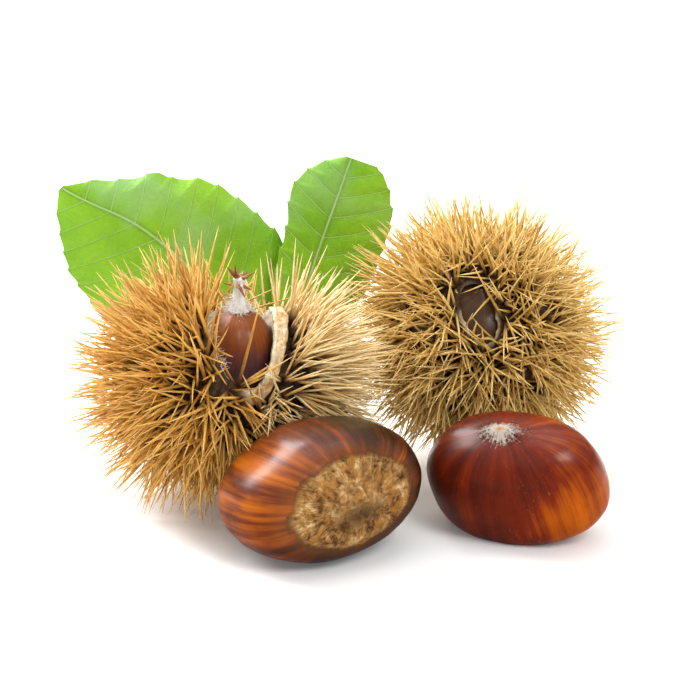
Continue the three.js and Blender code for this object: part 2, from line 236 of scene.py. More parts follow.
class Wire:
    """An output socket. Sums on it add Math nodes to its finish."""

    def __init__(self, finish, socket):
        self.finish = finish
        self.socket = socket

    def math(self, operation, *operands, clamp=False):
        inputs = dict(enumerate((self,) + operands))
        return self.finish.node("Math", {"operation": operation, "use_clamp": clamp}, inputs)

    def reflected(self, operation, other):
        return self.finish.node("Math", {"operation": operation}, {0: other, 1: self})

    def __add__(self, other):
        return self.math("ADD", other)

    def __radd__(self, other):
        return self.math("ADD", other)

    def __sub__(self, other):
        return self.math("SUBTRACT", other)

    def __rsub__(self, other):
        return self.reflected("SUBTRACT", other)

    def __mul__(self, other):
        return self.math("MULTIPLY", other)

    def __rmul__(self, other):
        return self.math("MULTIPLY", other)

    def __truediv__(self, other):
        return self.math("DIVIDE", other)

    def __abs__(self):
        return self.math("ABSOLUTE")

    def clamped(self):
        return self.math("ADD", 0.0, clamp=True)

    def rises(self, low, high):
        """0 below low, 1 above high and smooth between them. It falls instead where low is above high."""
        start, end, bottom, top = (low, high, 0.0, 1.0) if low < high else (high, low, 1.0, 0.0)
        settings = {"interpolation_type": "SMOOTHSTEP"}
        inputs = {"Value": self, "From Min": start, "From Max": end, "To Min": bottom, "To Max": top}
        return self.finish.node("MapRange", settings, inputs)


class Finish:
    """One material, built node by node."""

    def __init__(self, name):
        self.material = bpy.data.materials.new(name)
        self.material.use_nodes = True
        self.tree = self.material.node_tree
        self.tree.nodes.clear()

    def node(self, kind, settings=None, inputs=None, output=0):
        """Adds a shader node: its settings, then its sockets' values or links. Returns one of its outputs."""
        made = self.tree.nodes.new("ShaderNode" + kind)
        for name, value in (settings or {}).items():
            if name == "stops":
                self.set_stops(made.color_ramp, value)
            else:
                setattr(made, name, value)
        sockets = [socket for socket in made.inputs if socket.enabled]
        for key, value in (inputs or {}).items():
            socket = sockets[key] if isinstance(key, int) else next(s for s in sockets if s.name == key)
            if isinstance(value, Wire):
                self.tree.links.new(value.socket, socket)
            else:
                socket.default_value = value
        outputs = [socket for socket in made.outputs if socket.enabled]
        chosen = outputs[output] if isinstance(output, int) else made.outputs[output]
        return Wire(self, chosen)

    @staticmethod
    def set_stops(ramp, stops):
        while len(ramp.elements) < len(stops):
            ramp.elements.new(1.0)
        for element, (place, colour) in zip(ramp.elements, stops):
            element.position = place
            element.color = (*colour, 1.0)

    def place(self):
        """Where a point is on its piece, in millimetres."""
        metres = self.node("TexCoord", output="Object")
        return self.node("VectorMath", {"operation": "SCALE"}, {"Vector": metres, "Scale": 1 / MM})

    def attribute(self, name, output="Fac"):
        return self.node("Attribute", {"attribute_name": name}, output=output)

    def stretched(self, vector, factors):
        return self.node("VectorMath", {"operation": "MULTIPLY"}, {0: vector, 1: factors})

    def noise(self, vector, scale, detail=3.0, roughness=0.55, distortion=0.0):
        inputs = {"Vector": vector, "Scale": scale, "Detail": detail}
        inputs.update({"Roughness": roughness, "Distortion": distortion})
        return self.node("TexNoise", {}, inputs)

    def axes(self, vector):
        split = self.node("SeparateXYZ", {}, {0: vector})
        return [Wire(self, socket) for socket in split.socket.node.outputs]

    def ramp(self, factor, stops):
        return self.node("ValToRGB", {"stops": stops}, {0: factor})

    def mix(self, factor, first, second):
        colours = [c if isinstance(c, Wire) else (*c, 1.0) for c in (first, second)]
        settings = {"data_type": "RGBA", "clamp_factor": True}
        return self.node("Mix", settings, {"Factor": factor, "A": colours[0], "B": colours[1]})

    def bump(self, height, distance, strength):
        inputs = {"Strength": strength, "Distance": distance * MM, "Height": height}
        return self.node("Bump", {}, inputs)

    def shade(self, colour, roughness, normal=None, coat=None, constants=None):
        inputs = {"Base Color": colour, "Roughness": roughness}
        if normal is not None:
            inputs["Normal"] = normal
        if coat is not None:
            inputs["Coat Weight"] = coat
        inputs.update(constants or {})
        surface = self.node("BsdfPrincipled", {}, inputs)
        self.node_output(surface)
        return self.material

    def node_output(self, surface):
        output = self.tree.nodes.new("ShaderNodeOutputMaterial")
        self.tree.links.new(surface.socket, output.inputs["Surface"])


def chestnut_shell(name, dark, red, amber, gloss, banding, shine):
    """Glossy shell: streaks from base to tip, a dull mottled base scar and silvery down round the tip."""
    finish = Finish(name)
    place = finish.place()
    fibre = finish.attribute("fibre", "Vector")
    scar = finish.attribute("scar")
    down = finish.attribute("down")
    warmth = finish.attribute("warmth")

    bands = finish.noise(finish.stretched(fibre, (3.1, 3.1, 0.3)), 1.0, detail=2.0, distortion=0.2)
    streaks = finish.noise(finish.stretched(fibre, (15.0, 15.0, 0.7)), 1.0, detail=3.0, roughness=0.6)
    threads = finish.noise(finish.stretched(fibre, (62.0, 62.0, 2.0)), 1.0, detail=2.0)
    clouds = finish.noise(place, 0.16, detail=2.0)
    stripes = (streaks - 0.5) * (0.3 + finish.attribute("striped") * 1.7)
    tone = (bands - 0.5) * banding + stripes + (threads - 0.5) * 0.3 + (clouds - 0.5) * 0.5
    # The warmth mark holds the shell's amber tone and, on the left nut, painted shade underneath.
    depth = (tone + warmth).clamped()
    between = [0.5 * (d + r) for d, r in zip(dark, red)]
    shell = finish.ramp(depth, [(0.0, dark), (0.3, between), (0.52, red), (0.98, amber)])

    scratches = finish.noise(finish.stretched(fibre, (150.0, 150.0, 9.0)), 1.0, detail=1.0)
    hairlines = scratches.rises(0.68, 0.74) * finish.noise(place, 0.4).rises(0.45, 0.6)
    shell = finish.mix(hairlines * 0.22, shell, (0.62, 0.36, 0.2))

    scar_place = finish.attribute("scar_place", "Vector")
    fibres = finish.noise(scar_place, 1.0, detail=5.0, roughness=0.65, distortion=0.4)
    flakes = finish.noise(place, 0.6, detail=5.0, roughness=0.62, distortion=0.9)
    grain = fibres * 0.35 + flakes * 0.65
    mottle = finish.noise(place, 0.24, detail=5.0, roughness=0.6, distortion=0.6)
    cracks = finish.noise(scar_place, 0.9, detail=4.0, distortion=1.2)
    crack_lines = abs(cracks - 0.5).rises(0.035, 0.0)
    scar_tone = (grain * 0.6 + mottle * 0.4 - 0.5) * 4.4 + 0.52 - crack_lines * 0.3
    scar_stops = [
        (0.05, (0.06, 0.026, 0.01)), (0.3, (0.15, 0.07, 0.022)), (0.5, (0.26, 0.135, 0.046)),
        (0.7, (0.36, 0.19, 0.06)), (0.95, (0.56, 0.4, 0.2)),
    ]
    scar_colour = finish.ramp(scar_tone, scar_stops)
    rust = finish.noise(place, 0.3, detail=3.0, distortion=1.0).rises(0.52, 0.66)
    scar_colour = finish.mix(rust * 0.6, scar_colour, (0.38, 0.15, 0.025))
    dirt = (finish.attribute("dirt") + (mottle - 0.5) * 2.2 + (grain - 0.5) * 1.5).clamped()
    scar_colour = finish.mix(dirt * 0.85, scar_colour, (0.045, 0.024, 0.012))
    ragged = scar + (grain - 0.5) * 0.3 + (mottle - 0.5) * 0.3
    edge = ragged.rises(0.93, 0.98) * ragged.rises(1.05, 1.0)
    haze = scar.rises(1.35, 1.0)
    inside = ragged.rises(1.03, 0.96)
    shell = finish.mix(haze * 0.35, shell, (0.22, 0.09, 0.04))
    colour = finish.mix(inside, shell, scar_colour)
    colour = finish.mix(edge * 0.4, colour, (0.06, 0.025, 0.01))

    rays = finish.noise(finish.stretched(fibre, (26.0, 26.0, 0.6)), 1.0, detail=3.0)
    felt = finish.noise(place, 2.2, detail=3.0)
    silver = (down + (rays - 0.5) * 1.6 + (felt - 0.5) * 1.5).rises(0.34, 0.66)
    colour = finish.mix(silver * 0.8, colour, (0.5, 0.45, 0.38))
    colour = finish.mix(down.rises(0.8, 0.94), colour, (0.36, 0.22, 0.09))

    matte = (inside + silver + haze * 0.85).clamped()
    wear = finish.noise(place, 0.5, detail=3.0)
    roughness = (gloss + (wear - 0.5) * 0.14 + (threads - 0.5) * 0.06) * (1 - matte) + matte * 0.8
    relief = (threads * 0.5 + streaks * 0.3) * (1 - matte) * 0.12
    rough_relief = (grain * 0.9 + mottle * 0.5 - cracks * 0.5) * inside * 3.2 + felt * silver * 1.6
    normal = finish.bump(relief + rough_relief, 0.12, 0.8)
    polish = finish.attribute("polish")
    constants = {"Specular IOR Level": 0.03, "Coat Roughness": 0.27}
    return finish.shade(colour, roughness, normal, (1 - matte) * (polish * shine + 0.02), constants)


def husk_skin():
    """Skin of a husk: dark and warty between the bristles, partly painted shade, ivory on the rim, pale felt
    on the lining.
    """
    finish = Finish("husk skin")
    place = finish.place()
    rim = finish.attribute("rim")
    lining = finish.attribute("lining")
    warts = finish.noise(place, 0.9, detail=4.0, roughness=0.6)
    # The darkest browns of the skin are partly its own colour and partly painted shade deep among the
    # bristles.
    skin_and_shade_stops = [(0.3, (0.012, 0.006, 0.003)), (0.55, (0.06, 0.03, 0.012)), (0.75, (0.16, 0.09, 0.035))]
    skin = finish.ramp(warts, skin_and_shade_stops)
    patches = finish.noise(place, 0.45, detail=3.0)
    ivory_stops = [
        (0.3, (0.36, 0.17, 0.05)), (0.42, (0.66, 0.46, 0.22)), (0.55, (0.64, 0.59, 0.43)),
        (0.75, (0.7, 0.7, 0.6)),
    ]
    ivory = finish.ramp(patches, ivory_stops)
    across = finish.attribute("rim_across")
    bark = finish.noise(finish.stretched(place, (1.0, 1.0, 0.3)), 1.6, detail=4.0)
    middle = across.rises(0.12, 0.35) * across.rises(0.92, 0.7) * (bark + patches).rises(0.85, 1.15)
    ivory = finish.mix(middle * 0.8, ivory, (0.42, 0.22, 0.07))
    felt = finish.noise(finish.stretched(place, (1.0, 1.0, 0.35)), 3.0, detail=4.0)
    pale = finish.ramp(felt, [(0.3, (0.5, 0.38, 0.25)), (0.6, (0.82, 0.75, 0.62))])
    colour = finish.mix(rim, skin, ivory)
    colour = finish.mix(lining, colour, pale)
    normal = finish.bump(warts + felt * 0.6, 0.35, 0.7)
    return finish.shade(colour, 0.86 - rim * 0.2, normal, constants={"Specular IOR Level": 0.3})


def bristle_finish(name, root, middle, light, tip):
    """Dry bristle: dark at the root, partly painted shade, tinted along its length, each bristle a little
    different.
    """
    finish = Finish(name)
    along = finish.attribute("along")
    tone = finish.attribute("tone")
    place = finish.place()
    body = finish.mix(tone.rises(0.1, 0.9), middle, light)
    flecks = finish.noise(place, 0.9, detail=3.0)
    body = finish.mix(flecks.rises(0.52, 0.75) * 0.5, body, root)
    # Darker towards the root: partly the bristles' own colour, partly painted shade where they crowd
    # together.
    colour = finish.mix(along.rises(0.38, 0.02), body, root)
    colour = finish.mix(along.rises(0.6, 0.95) * 0.7, colour, tip)
    roughness = 0.46 + (flecks - 0.5) * 0.3
    normal = finish.bump(finish.noise(place, 4.0, detail=2.0), 0.05, 0.4)
    return finish.shade(colour, roughness, normal, constants={"Specular IOR Level": 0.4})


def down_finish(name, colour):
    """Fine hair and felt."""
    finish = Finish(name)
    tone = finish.attribute("tone")
    shaded = finish.mix(tone * 0.6, colour, [0.55 * c for c in colour])
    return finish.shade(shaded, 0.75 + tone * 0.1, constants={"Sheen Weight": 0.3})


def leaf_finish(name, vein_spacing, sheen_share):
    """Fresh leaf: a thin pale midrib, side veins that run to the teeth, a fine net and pale bluish patches of
    painted sheen.
    """
    finish = Finish(name)
    side, along, vein_phase = finish.axes(finish.attribute("leaf_place", "Vector"))
    back = finish.attribute("back")
    place = finish.place()
    from_rib = abs(side)
    off_vein = ((vein_phase + 0.5).math("FRACT") - 0.5) * vein_spacing
    from_vein = abs(off_vein)
    fade = from_rib.rises(26.0, 4.0) * 0.7 + 0.3
    side_vein = from_vein.rises(0.2, 0.06) * fade
    shadow = off_vein.rises(0.0, 0.14) * off_vein.rises(0.5, 0.16)
    rib_widths_off = from_rib / (0.5 + along * 0.6)
    rib = rib_widths_off.rises(0.5, 0.22)
    rib_shadow = rib_widths_off.rises(1.9, 0.6)
    voronoi = {"feature": "DISTANCE_TO_EDGE"}
    cells = finish.node("TexVoronoi", voronoi, {"Vector": place, "Scale": 0.6})
    small_cells = finish.node("TexVoronoi", voronoi, {"Vector": place, "Scale": 1.7})
    net = cells.rises(0.06, 0.01) * 0.5 + small_cells.rises(0.1, 0.02) * 0.3
    clouds = finish.noise(place, 0.07, detail=3.0)
    speckle = finish.noise(place, 1.4, detail=4.0)
    tone = clouds * 0.75 + speckle * 0.3 - 0.02
    blade_stops = [(0.3, (0.14, 0.36, 0.004)), (0.52, (0.22, 0.48, 0.008)), (0.75, (0.3, 0.56, 0.03))]
    blade = finish.ramp(tone, blade_stops)
    blade = finish.mix((shadow * fade + rib_shadow) * 0.5, blade, (0.08, 0.25, 0.008))
    blade = finish.mix(net * 0.3, blade, (0.3, 0.52, 0.08))
    # Painted sheen: pale bluish patches that stand in for light reflected off the leaf.
    painted_sheen = finish.noise(place, 0.05, detail=3.0).rises(0.48, 0.66) * sheen_share
    blade = finish.mix(painted_sheen, blade, (0.36, 0.56, 0.32))
    veined = finish.mix(side_vein * 0.6, blade, (0.4, 0.62, 0.2))
    veined = finish.mix(rib * 0.75, veined, (0.42, 0.62, 0.22))
    colour = finish.mix(back * 0.75, veined, (0.17, 0.31, 0.08))
    height = rib * 0.5 - side_vein * 0.5 - net * 0.35 + speckle * 0.2
    normal = finish.bump(height, 0.25, 0.8)
    roughness = 0.5 + speckle * 0.14 + net * 0.08
    return finish.shade(colour, roughness, normal, constants={"Specular IOR Level": 0.3})


def stalk_finish():
    """Leaf stalk: yellow green, reddened in streaks, with fine ridges."""
    finish = Finish("leaf stalk")
    place = finish.place()
    ridges = finish.noise(finish.stretched(place, (1.6, 1.6, 0.2)), 1.0, detail=3.0)
    stops = [(0.35, (0.3, 0.36, 0.07)), (0.6, (0.48, 0.55, 0.16)), (0.8, (0.5, 0.3, 0.12))]
    colour = finish.ramp(ridges, stops)
    return finish.shade(colour, 0.5 + ridges * 0.15, finish.bump(ridges, 0.15, 0.6))


def floor_finish():
    finish = Finish("white table")
    speck = finish.noise(finish.place(), 0.02, detail=2.0)
    colour = finish.ramp(speck, [(0.3, (0.9, 0.9, 0.9)), (0.7, (0.92, 0.92, 0.915))])
    glow = {"Emission Color": (1, 1, 1, 1), "Emission Strength": 0.1, "Specular IOR Level": 0.1}
    return finish.shade(colour, 0.8, constants=glow)


# ---------------------------------------------------------------------------------------------------------
# Mesh making
# ---------------------------------------------------------------------------------------------------------


OVAL_COLUMNS, OVAL_ROWS = 96, 64
WALL_REACH = 90


def new_piece(name, points, faces, material):
    """A mesh object at the origin from points in layout millimetres."""
    mesh = bpy.data.meshes.new(name)
    mesh.from_pydata([tuple(p) for p in (np.asarray(points) + STAND) * MM], [], [tuple(f) for f in faces])
    mesh.polygons.foreach_set("use_smooth", [True] * len(mesh.polygons))
    if material is not None:
        mesh.materials.append(material)
    piece = bpy.data.objects.new(name, mesh)
    bpy.context.scene.collection.objects.link(piece)
    return piece


def set_attribute(piece, name, values):
    values = np.asarray(values, dtype=np.float32)
    kind, field = ("FLOAT_VECTOR", "vector") if values.ndim == 2 else ("FLOAT", "value")
    attribute = piece.data.attributes.new(name, kind, "POINT")
    attribute.data.foreach_set(field, values.ravel())


def layout_points(piece):
    """A piece's vertices, back in layout millimetres."""
    flat = np.empty(len(piece.data.vertices) * 3, dtype=np.float32)
    piece.data.vertices.foreach_get("co", flat)
    return flat.reshape(-1, 3) / MM - STAND


def move_points(piece, points):
    piece.data.vertices.foreach_set("co", ((points + STAND) * MM).astype(np.float32).ravel())
    piece.data.update()


def turn_to(shape):
    """The matrix that turns local axes so that Z is a shape's tip and X is nearest its broad side."""
    if "tip" not in shape:
        return np.eye(3)
    z_axis = np.array(shape["tip"], float)
    z_axis /= np.linalg.norm(z_axis)
    broad = np.array(shape["broad"], float)
    x_axis = broad - z_axis * broad.dot(z_axis)
    x_axis /= np.linalg.norm(x_axis)
    return np.stack([x_axis, np.cross(z_axis, x_axis), z_axis], axis=1)


def set_down(local, shape):
    return local @ turn_to(shape).T + np.array(shape["middle"], float)


def taken_up(points, shape):
    """Layout points in a shape's own axes."""
    return (points - np.array(shape["middle"], float)) @ turn_to(shape)


def oval_reach(points, shape):
    """Distance from an oval's middle, counting its skin as 1."""
    return np.linalg.norm(taken_up(points, shape) / np.array(shape["radii"], float), axis=1)


def gap_from_oval(points, shape):
    """About how far outside an oval's skin each point is, in millimetres."""
    local = taken_up(points, shape)
    reach = np.linalg.norm(local / np.array(shape["radii"], float), axis=1)
    return np.linalg.norm(local, axis=1) * (1 - 1 / np.maximum(reach, 1e-6))


def rises(values, low, high):
    """The smooth step that Wire.rises makes, on numbers."""
    share = np.clip((np.asarray(values, float) - low) / (high - low), 0, 1)
    return share * share * (3 - 2 * share)


def lump(points, wavelength, seed=0.0):
    """Soft noise from -1 to 1 at each point."""
    offset = Vector((seed, seed * 1.7, -seed))
    return np.array([noise.noise(Vector(p) / wavelength + offset) for p in points])


def layered(points, layers, seed):
    """Soft noise of several sizes together. Each layer is a wavelength, a height and a shift of the seed."""
    return sum(lump(points, wavelength, seed + shift) * height for wavelength, height, shift in layers)


def ring_points(turns, radius, height):
    return np.stack([radius * np.cos(turns), radius * np.sin(turns), np.full(len(turns), height)], axis=1)


def globe(columns, rows):
    """Unit directions of a globe with one point at each pole on Z, and its faces, which look outward."""
    turns = np.arange(columns) * 2 * math.pi / columns
    falls = np.arange(1, rows) * math.pi / rows
    rings = [ring_points(turns, math.sin(fall), math.cos(fall)) for fall in falls]
    directions = np.concatenate([[[0, 0, 1]], *rings, [[0, 0, -1]]])
    last = len(directions) - 1
    faces = []
    for c in range(columns):
        after = (c + 1) % columns
        faces.append((0, 1 + c, 1 + after))
        for r in range(rows - 2):
            a, b = 1 + r * columns + c, 1 + r * columns + after
            faces.append((a, a + columns, b + columns, b))
        faces.append((last, 1 + (rows - 2) * columns + after, 1 + (rows - 2) * columns + c))
    return directions, faces


def oval_piece(name, oval):
    directions, faces = globe(OVAL_COLUMNS, OVAL_ROWS)
    return new_piece(name, set_down(directions * np.array(oval["radii"], float), oval), faces, None)


# ---------------------------------------------------------------------------------------------------------
# Nuts
# ---------------------------------------------------------------------------------------------------------


def nut_local(directions, nut, swell=0.0):
    """A nut's skin in its own axes: full at the sides, flatter at the base, a small knob at the tip."""
    breadth, thickness, height = (extent / 2 + swell for extent in nut["size"])
    across = np.hypot(directions[:, 0], directions[:, 1])
    spread = np.maximum(across, 1e-6)
    full_x = np.where(across > 1e-6, spread ** (nut.get("fullness", SIDE_FULLNESS) - 1), 0)
    full_y = np.where(across > 1e-6, spread ** (SIDE_FULLNESS - 1), 0)
    flatness = np.where(directions[:, 2] < 0, nut.get("base", BASE_FLATNESS), nut.get("crown", 1.0))
    rise = np.sign(directions[:, 2]) * np.abs(directions[:, 2]) ** flatness
    point = np.where(directions[:, 2] > 0, TIP_KNOB * np.exp(-((across / 0.1) ** 2)), 0)
    x = directions[:, 0] * full_x * breadth
    y = directions[:, 1] * full_y * thickness
    return np.stack([x, y, rise * height + point], axis=1)


DIRT = (0.5, 2.6, 6.5)  # where the base scar is dirtiest, across the nut, and how far that spreads
DIRT_STRETCH = 2.2  # how much faster it fades across the nut's thickness
SHELL_RIDGES = ((7, 0.03), (13, 0.02), (29, 0.01), (47, 0.006))  # waves round the shell and their heights
# Unevenness in layers, each a wavelength, a height and a shift of the seed.
SHELL_WOBBLE = ((0.8, 0.45, 0), (0.35, 0.14, 5))
SCAR_OUTLINE = ((0.6, 0.05, 9), (0.16, 0.025, 2))
SCAR_ROUGHNESS = ((1.1, 0.16, 0), (0.5, 0.08, 3))
OUTSIDE_SCAR = 3.0  # the scar mark far from the scar, whose edge is at 1
SCAR_THINNESS = 1.5  # how much broader than thick the pattern in a scar is
SCAR_GRAIN = 0.62  # how fine that pattern is in the middle of the scar
SCAR_SPOKES = 8.5  # and how fine it is round the scar's edge


def make_nut(name, nut, material, warmth, columns=176, rows=120):
    """A whole nut with its base scar. The function passed in says how amber the shell is, from 0 to 1, and
    carries any painted shade.
    """
    directions, faces = globe(columns, rows)
    local = nut_local(directions, nut)
    seed = nut["seed"]
    turn = np.arctan2(directions[:, 1], directions[:, 0])
    latitude = np.arccos(np.clip(directions[:, 2], -1, 1))
    ring = np.sin(latitude)
    outward = directions / np.linalg.norm(directions, axis=1)[:, None]

    wobble = layered(directions, SHELL_WOBBLE, seed)
    ridges = sum(np.sin(turn * count + seed * count) * height for count, height in SHELL_RIDGES)
    outline = 1 + layered(ring_points(turn, 1, 0), SCAR_OUTLINE, seed)
    scar = np.hypot(local[:, 0] / nut["scar"][0], local[:, 1] / nut["scar"][1]) / outline
    scar = np.where(local[:, 2] < 0, scar, OUTSIDE_SCAR)
    in_scar = 1 - rises(scar, 0.96, 1.0)
    rough = layered(local, SCAR_ROUGHNESS, seed)
    lip = np.exp(-(((scar - 1.0) / 0.05) ** 2)) * -0.06
    swell = wobble + ridges * ring * (1 - in_scar) + in_scar * (0.04 + rough) + lip
    points = set_down(local + outward * swell[:, None], nut)
    points[:, 2] = np.maximum(points[:, 2], FLOOR_SKIN)

    piece = new_piece(name, points, faces, material)
    around = np.stack([np.cos(turn), np.sin(turn), latitude * 1.2 + seed], axis=1)
    set_attribute(piece, "fibre", around)
    set_attribute(piece, "scar", scar)
    spoke = np.arctan2(local[:, 1] * SCAR_THINNESS, local[:, 0])
    spin = np.stack([np.cos(spoke) * SCAR_SPOKES, np.sin(spoke) * SCAR_SPOKES, scar * 2.0], axis=1)
    flat = np.stack([local[:, 0], local[:, 1] * SCAR_THINNESS, local[:, 2] * 0.2], axis=1) * SCAR_GRAIN
    blend = rises(scar, 0.2, 0.55)[:, None]
    set_attribute(piece, "scar_place", flat * (1 - blend) + spin * blend)
    from_tip = np.where(local[:, 2] > 0, np.hypot(local[:, 0], local[:, 1] * 1.6) / nut["down"], 9.0)
    set_attribute(piece, "down", 1 - np.clip(from_tip, 0, 2))
    set_attribute(piece, "warmth", warmth(local))
    far_shoulder = rises(local[:, 0], 1, 12) * rises(-local[:, 1], 0, 8)
    set_attribute(piece, "striped", nut["stripes"] * (0.3 + 0.7 * far_shoulder))
    set_attribute(piece, "polish", rises(outward_normals(piece)[:, 2], 0.05, 0.5))
    from_dirt = np.hypot(local[:, 0] - DIRT[0], (local[:, 1] - DIRT[1]) * DIRT_STRETCH)
    set_attribute(piece, "dirt", 1.05 - from_dirt / DIRT[2])
    return piece


def left_warmth_and_shade(local):
    """Amber at the near left end, dark along the far right shoulder, and painted shade underneath."""
    shoulder = rises(local[:, 0], -7, 8) * rises(local[:, 2], -15, -8)
    # Painted shade: the underside is darkened, less so at the near left end.
    underside_shade = rises(local[:, 1], -1, 8) * (0.36 + 0.34 * rises(local[:, 0], -16, -4))
    return 0.54 + 0.16 * rises(-local[:, 0], 2, 15) - 0.5 * shoulder - underside_shade


def right_warmth(local):
    """Amber at the right end, dark red in the middle."""
    right_end = rises(local[:, 0], 1, 14) * (0.35 + 0.65 * rises(-local[:, 2], -7, 2))
    left_foot = rises(-local[:, 0], 6, 15) * rises(-local[:, 2], -1, 6)
    return 0.36 + 0.56 * right_end + 0.28 * left_foot


def open_warmth(local):
    """Orange over the shoulder, dark and purplish lower down."""
    return 0.1 + 0.62 * rises(local[:, 2], 0, 7) - 0.25 * rises(local[:, 0], 2, 7)


def dull_warmth(local):
    return 0.2 + 0.14 * rises(local[:, 2], 4, 9)


NECK_PROFILE = (  # radius and height
    (2.4, 9.7), (1.85, 10.4), (1.5, 11.3), (1.2, 12.6), (1.05, 14.2), (0.95, 15.6), (1.2, 16.6), (0.8, 17.1),
)


def make_neck(nut, material):
    """The felted neck, flaring on to the nut's shoulder, lumpy with felt."""
    columns = 72
    heights = np.linspace(NECK_PROFILE[0][1], NECK_PROFILE[-1][1], 60)
    radii = np.interp(heights, [h for _, h in NECK_PROFILE], [r for r, _ in NECK_PROFILE])
    turns = np.arange(columns) * 2 * math.pi / columns
    rings = [ring_points(turns, radius, height) for radius, height in zip(radii, heights)]
    local = np.concatenate([[[0, 0, heights[0] - 1.5]], *rings, [[0, 0, heights[-1] + 0.15]]])
    grooves = lump(local * np.array([1, 1, 0.25]), 0.55, 4) * 0.2 + lump(local, 0.3, 2) * 0.07
    outward = local * np.array([1, 1, 0])
    reach = np.maximum(np.linalg.norm(outward, axis=1), 0.2)[:, None]
    local = local + outward / reach * grooves[:, None]
    rows = len(heights)
    faces = [(0, 1 + (c + 1) % columns, 1 + c) for c in range(columns)]
    for r in range(rows - 1):
        for c in range(columns):
            a, b = 1 + r * columns + c, 1 + r * columns + (c + 1) % columns
            faces.append((a, b, b + columns, a + columns))
    top = len(local) - 1
    last_ring = 1 + (rows - 1) * columns
    faces += [(top, last_ring + c, last_ring + (c + 1) % columns) for c in range(columns)]
    piece = new_piece("open_nut_neck", set_down(local, nut), faces, material)
    set_attribute(piece, "tone", 0.5 + 0.5 * lump(local, 0.8, 7))
    set_attribute(piece, "downy", 1 - rises(local[:, 2], 10.5, 14) * 0.85)
    return piece


def tapered_tube(path, radii, sides):
    """Points and faces of a closed tube along a path, thinning to its end."""
    path = np.asarray(path, float)
    points = []
    for i, (centre, radius) in enumerate(zip(path, radii)):
        ahead = Vector(path[min(i + 1, len(path) - 1)] - path[max(i - 1, 0)]).normalized()
        turn = np.array(ahead.to_track_quat("Z", "X").to_matrix())
        for k in range(sides):
            angle = 2 * math.pi * k / sides
            points.append(centre + turn @ np.array([math.cos(angle) * radius, math.sin(angle) * radius, 0]))
    faces = [tuple(reversed(range(sides)))]
    for i in range(len(path) - 1):
        for k in range(sides):
            a, b = i * sides + k, i * sides + (k + 1) % sides
            faces.append((a, b, b + sides, a + sides))
    faces.append(tuple(range((len(path) - 1) * sides, len(path) * sides)))
    return points, faces


def gather(tubes):
    """Joins several points-and-faces pairs into one pair."""
    points, faces = [], []
    for more_points, more_faces in tubes:
        faces += [tuple(i + len(points) for i in face) for face in more_faces]
        points += list(more_points)
    return points, faces


STIGMAS = (  # turn in degrees, height of the root, length, rise at the end
    (170, 17.0, 3.3, 3.4), (8, 16.9, 3.4, 1.0), (62, 17.0, 2.6, 1.6), (118, 16.8, 2.2, 2.4),
    (225, 16.8, 2.6, 0.9), (285, 16.7, 2.8, 1.2), (330, 16.9, 3.0, 0.4), (185, 15.3, 3.6, 0.5),
    (205, 15.0, 3.0, -1.4), (250, 15.2, 2.4, -0.6), (350, 15.2, 3.4, -0.3), (25, 15.4, 3.0, 0.6),
    (300, 15.0, 2.2, -1.0), (95, 15.3, 2.8, 0.4),
)
STIGMA_RADIUS = 0.42
STIGMA_SIDES = 8
STIGMA_JOINTS = 9


def make_stigmas(nut, material):
    """Brown stigma points that spread from the top of the neck."""
    tubes = []
    for turn, root, length, rise in STIGMAS:
        angle = math.radians(turn)
        shares = np.linspace(0, 1, STIGMA_JOINTS)
        reach = 0.3 + length * shares
        bend = 0.25 * np.sin(shares * math.pi) * math.cos(angle * 3)
        x = reach * math.cos(angle) - bend * math.sin(angle)
        y = reach * math.sin(angle) + bend * math.cos(angle)
        path = np.stack([x, y, root + rise * shares**1.4], axis=1)
        radii = STIGMA_RADIUS * (1 - shares) ** 0.7 + 0.03
        tubes.append(tapered_tube(set_down(path, nut), radii, STIGMA_SIDES))
    points, faces = gather(tubes)
    piece = new_piece("open_nut_stigmas", points, faces, material)
    tones = np.linspace(0.1, 0.9, len(STIGMAS))
    set_attribute(piece, "along", np.tile(np.repeat(shares, STIGMA_SIDES), len(STIGMAS)))
    set_attribute(piece, "tone", np.repeat(tones, STIGMA_SIDES * STIGMA_JOINTS))
    return piece


# ---------------------------------------------------------------------------------------------------------
# Husks
# ---------------------------------------------------------------------------------------------------------

VOXEL = 0.42  # mesh size of a husk's skin
OUTSIDE = (0.955, 0.985)  # between these shares of an oval's reach a husk's lining turns into its skin
RIM_WIDTH = 3.3
RIM_EDGE_WAVES = ((2.6, 0.45, 0), (0.9, 0.2, 1))
GROOVE_DEPTH = 2.4
HUSK_ROUGHNESS = ((1.6, 0.3, 0), (0.7, 0.12, 2))
CLUMP_SIZE = 6.5


def husk_body(name, lobes, nut, mouth, material):
    """Lobes grown together, hollowed for the nut and cut open at the mouth, as one even mesh."""
    body = oval_piece(name, lobes[0])
    directions, faces = globe(OVAL_COLUMNS, OVAL_ROWS)
    hollow = new_piece("hollow", set_down(nut_local(directions, nut, NUT_PLAY), nut), faces, None)
    cutter = oval_piece("cutter", mouth)
    tools = [(oval_piece("lobe", lobe), "UNION") for lobe in lobes[1:]]
    tools += [(hollow, "DIFFERENCE"), (cutter, "DIFFERENCE")]
    for tool, operation in tools:
        join = body.modifiers.new(operation, "BOOLEAN")
        join.object = tool
        join.operation = operation
        join.solver = "EXACT"
    remesh = body.modifiers.new("even mesh", "REMESH")
    remesh.mode = "VOXEL"
    remesh.voxel_size = VOXEL * MM
    remesh.use_smooth_shade = True
    freeze(body)
    for tool, _ in tools:
        bpy.data.objects.remove(tool)
    body.data.materials.append(material)
    return body


def freeze(piece):
    """Makes what a piece's modifiers give its plain mesh."""
    evaluated = piece.evaluated_get(bpy.context.evaluated_depsgraph_get())
    mesh = bpy.data.meshes.new_from_object(evaluated)
    piece.modifiers.clear()
    piece.data = mesh


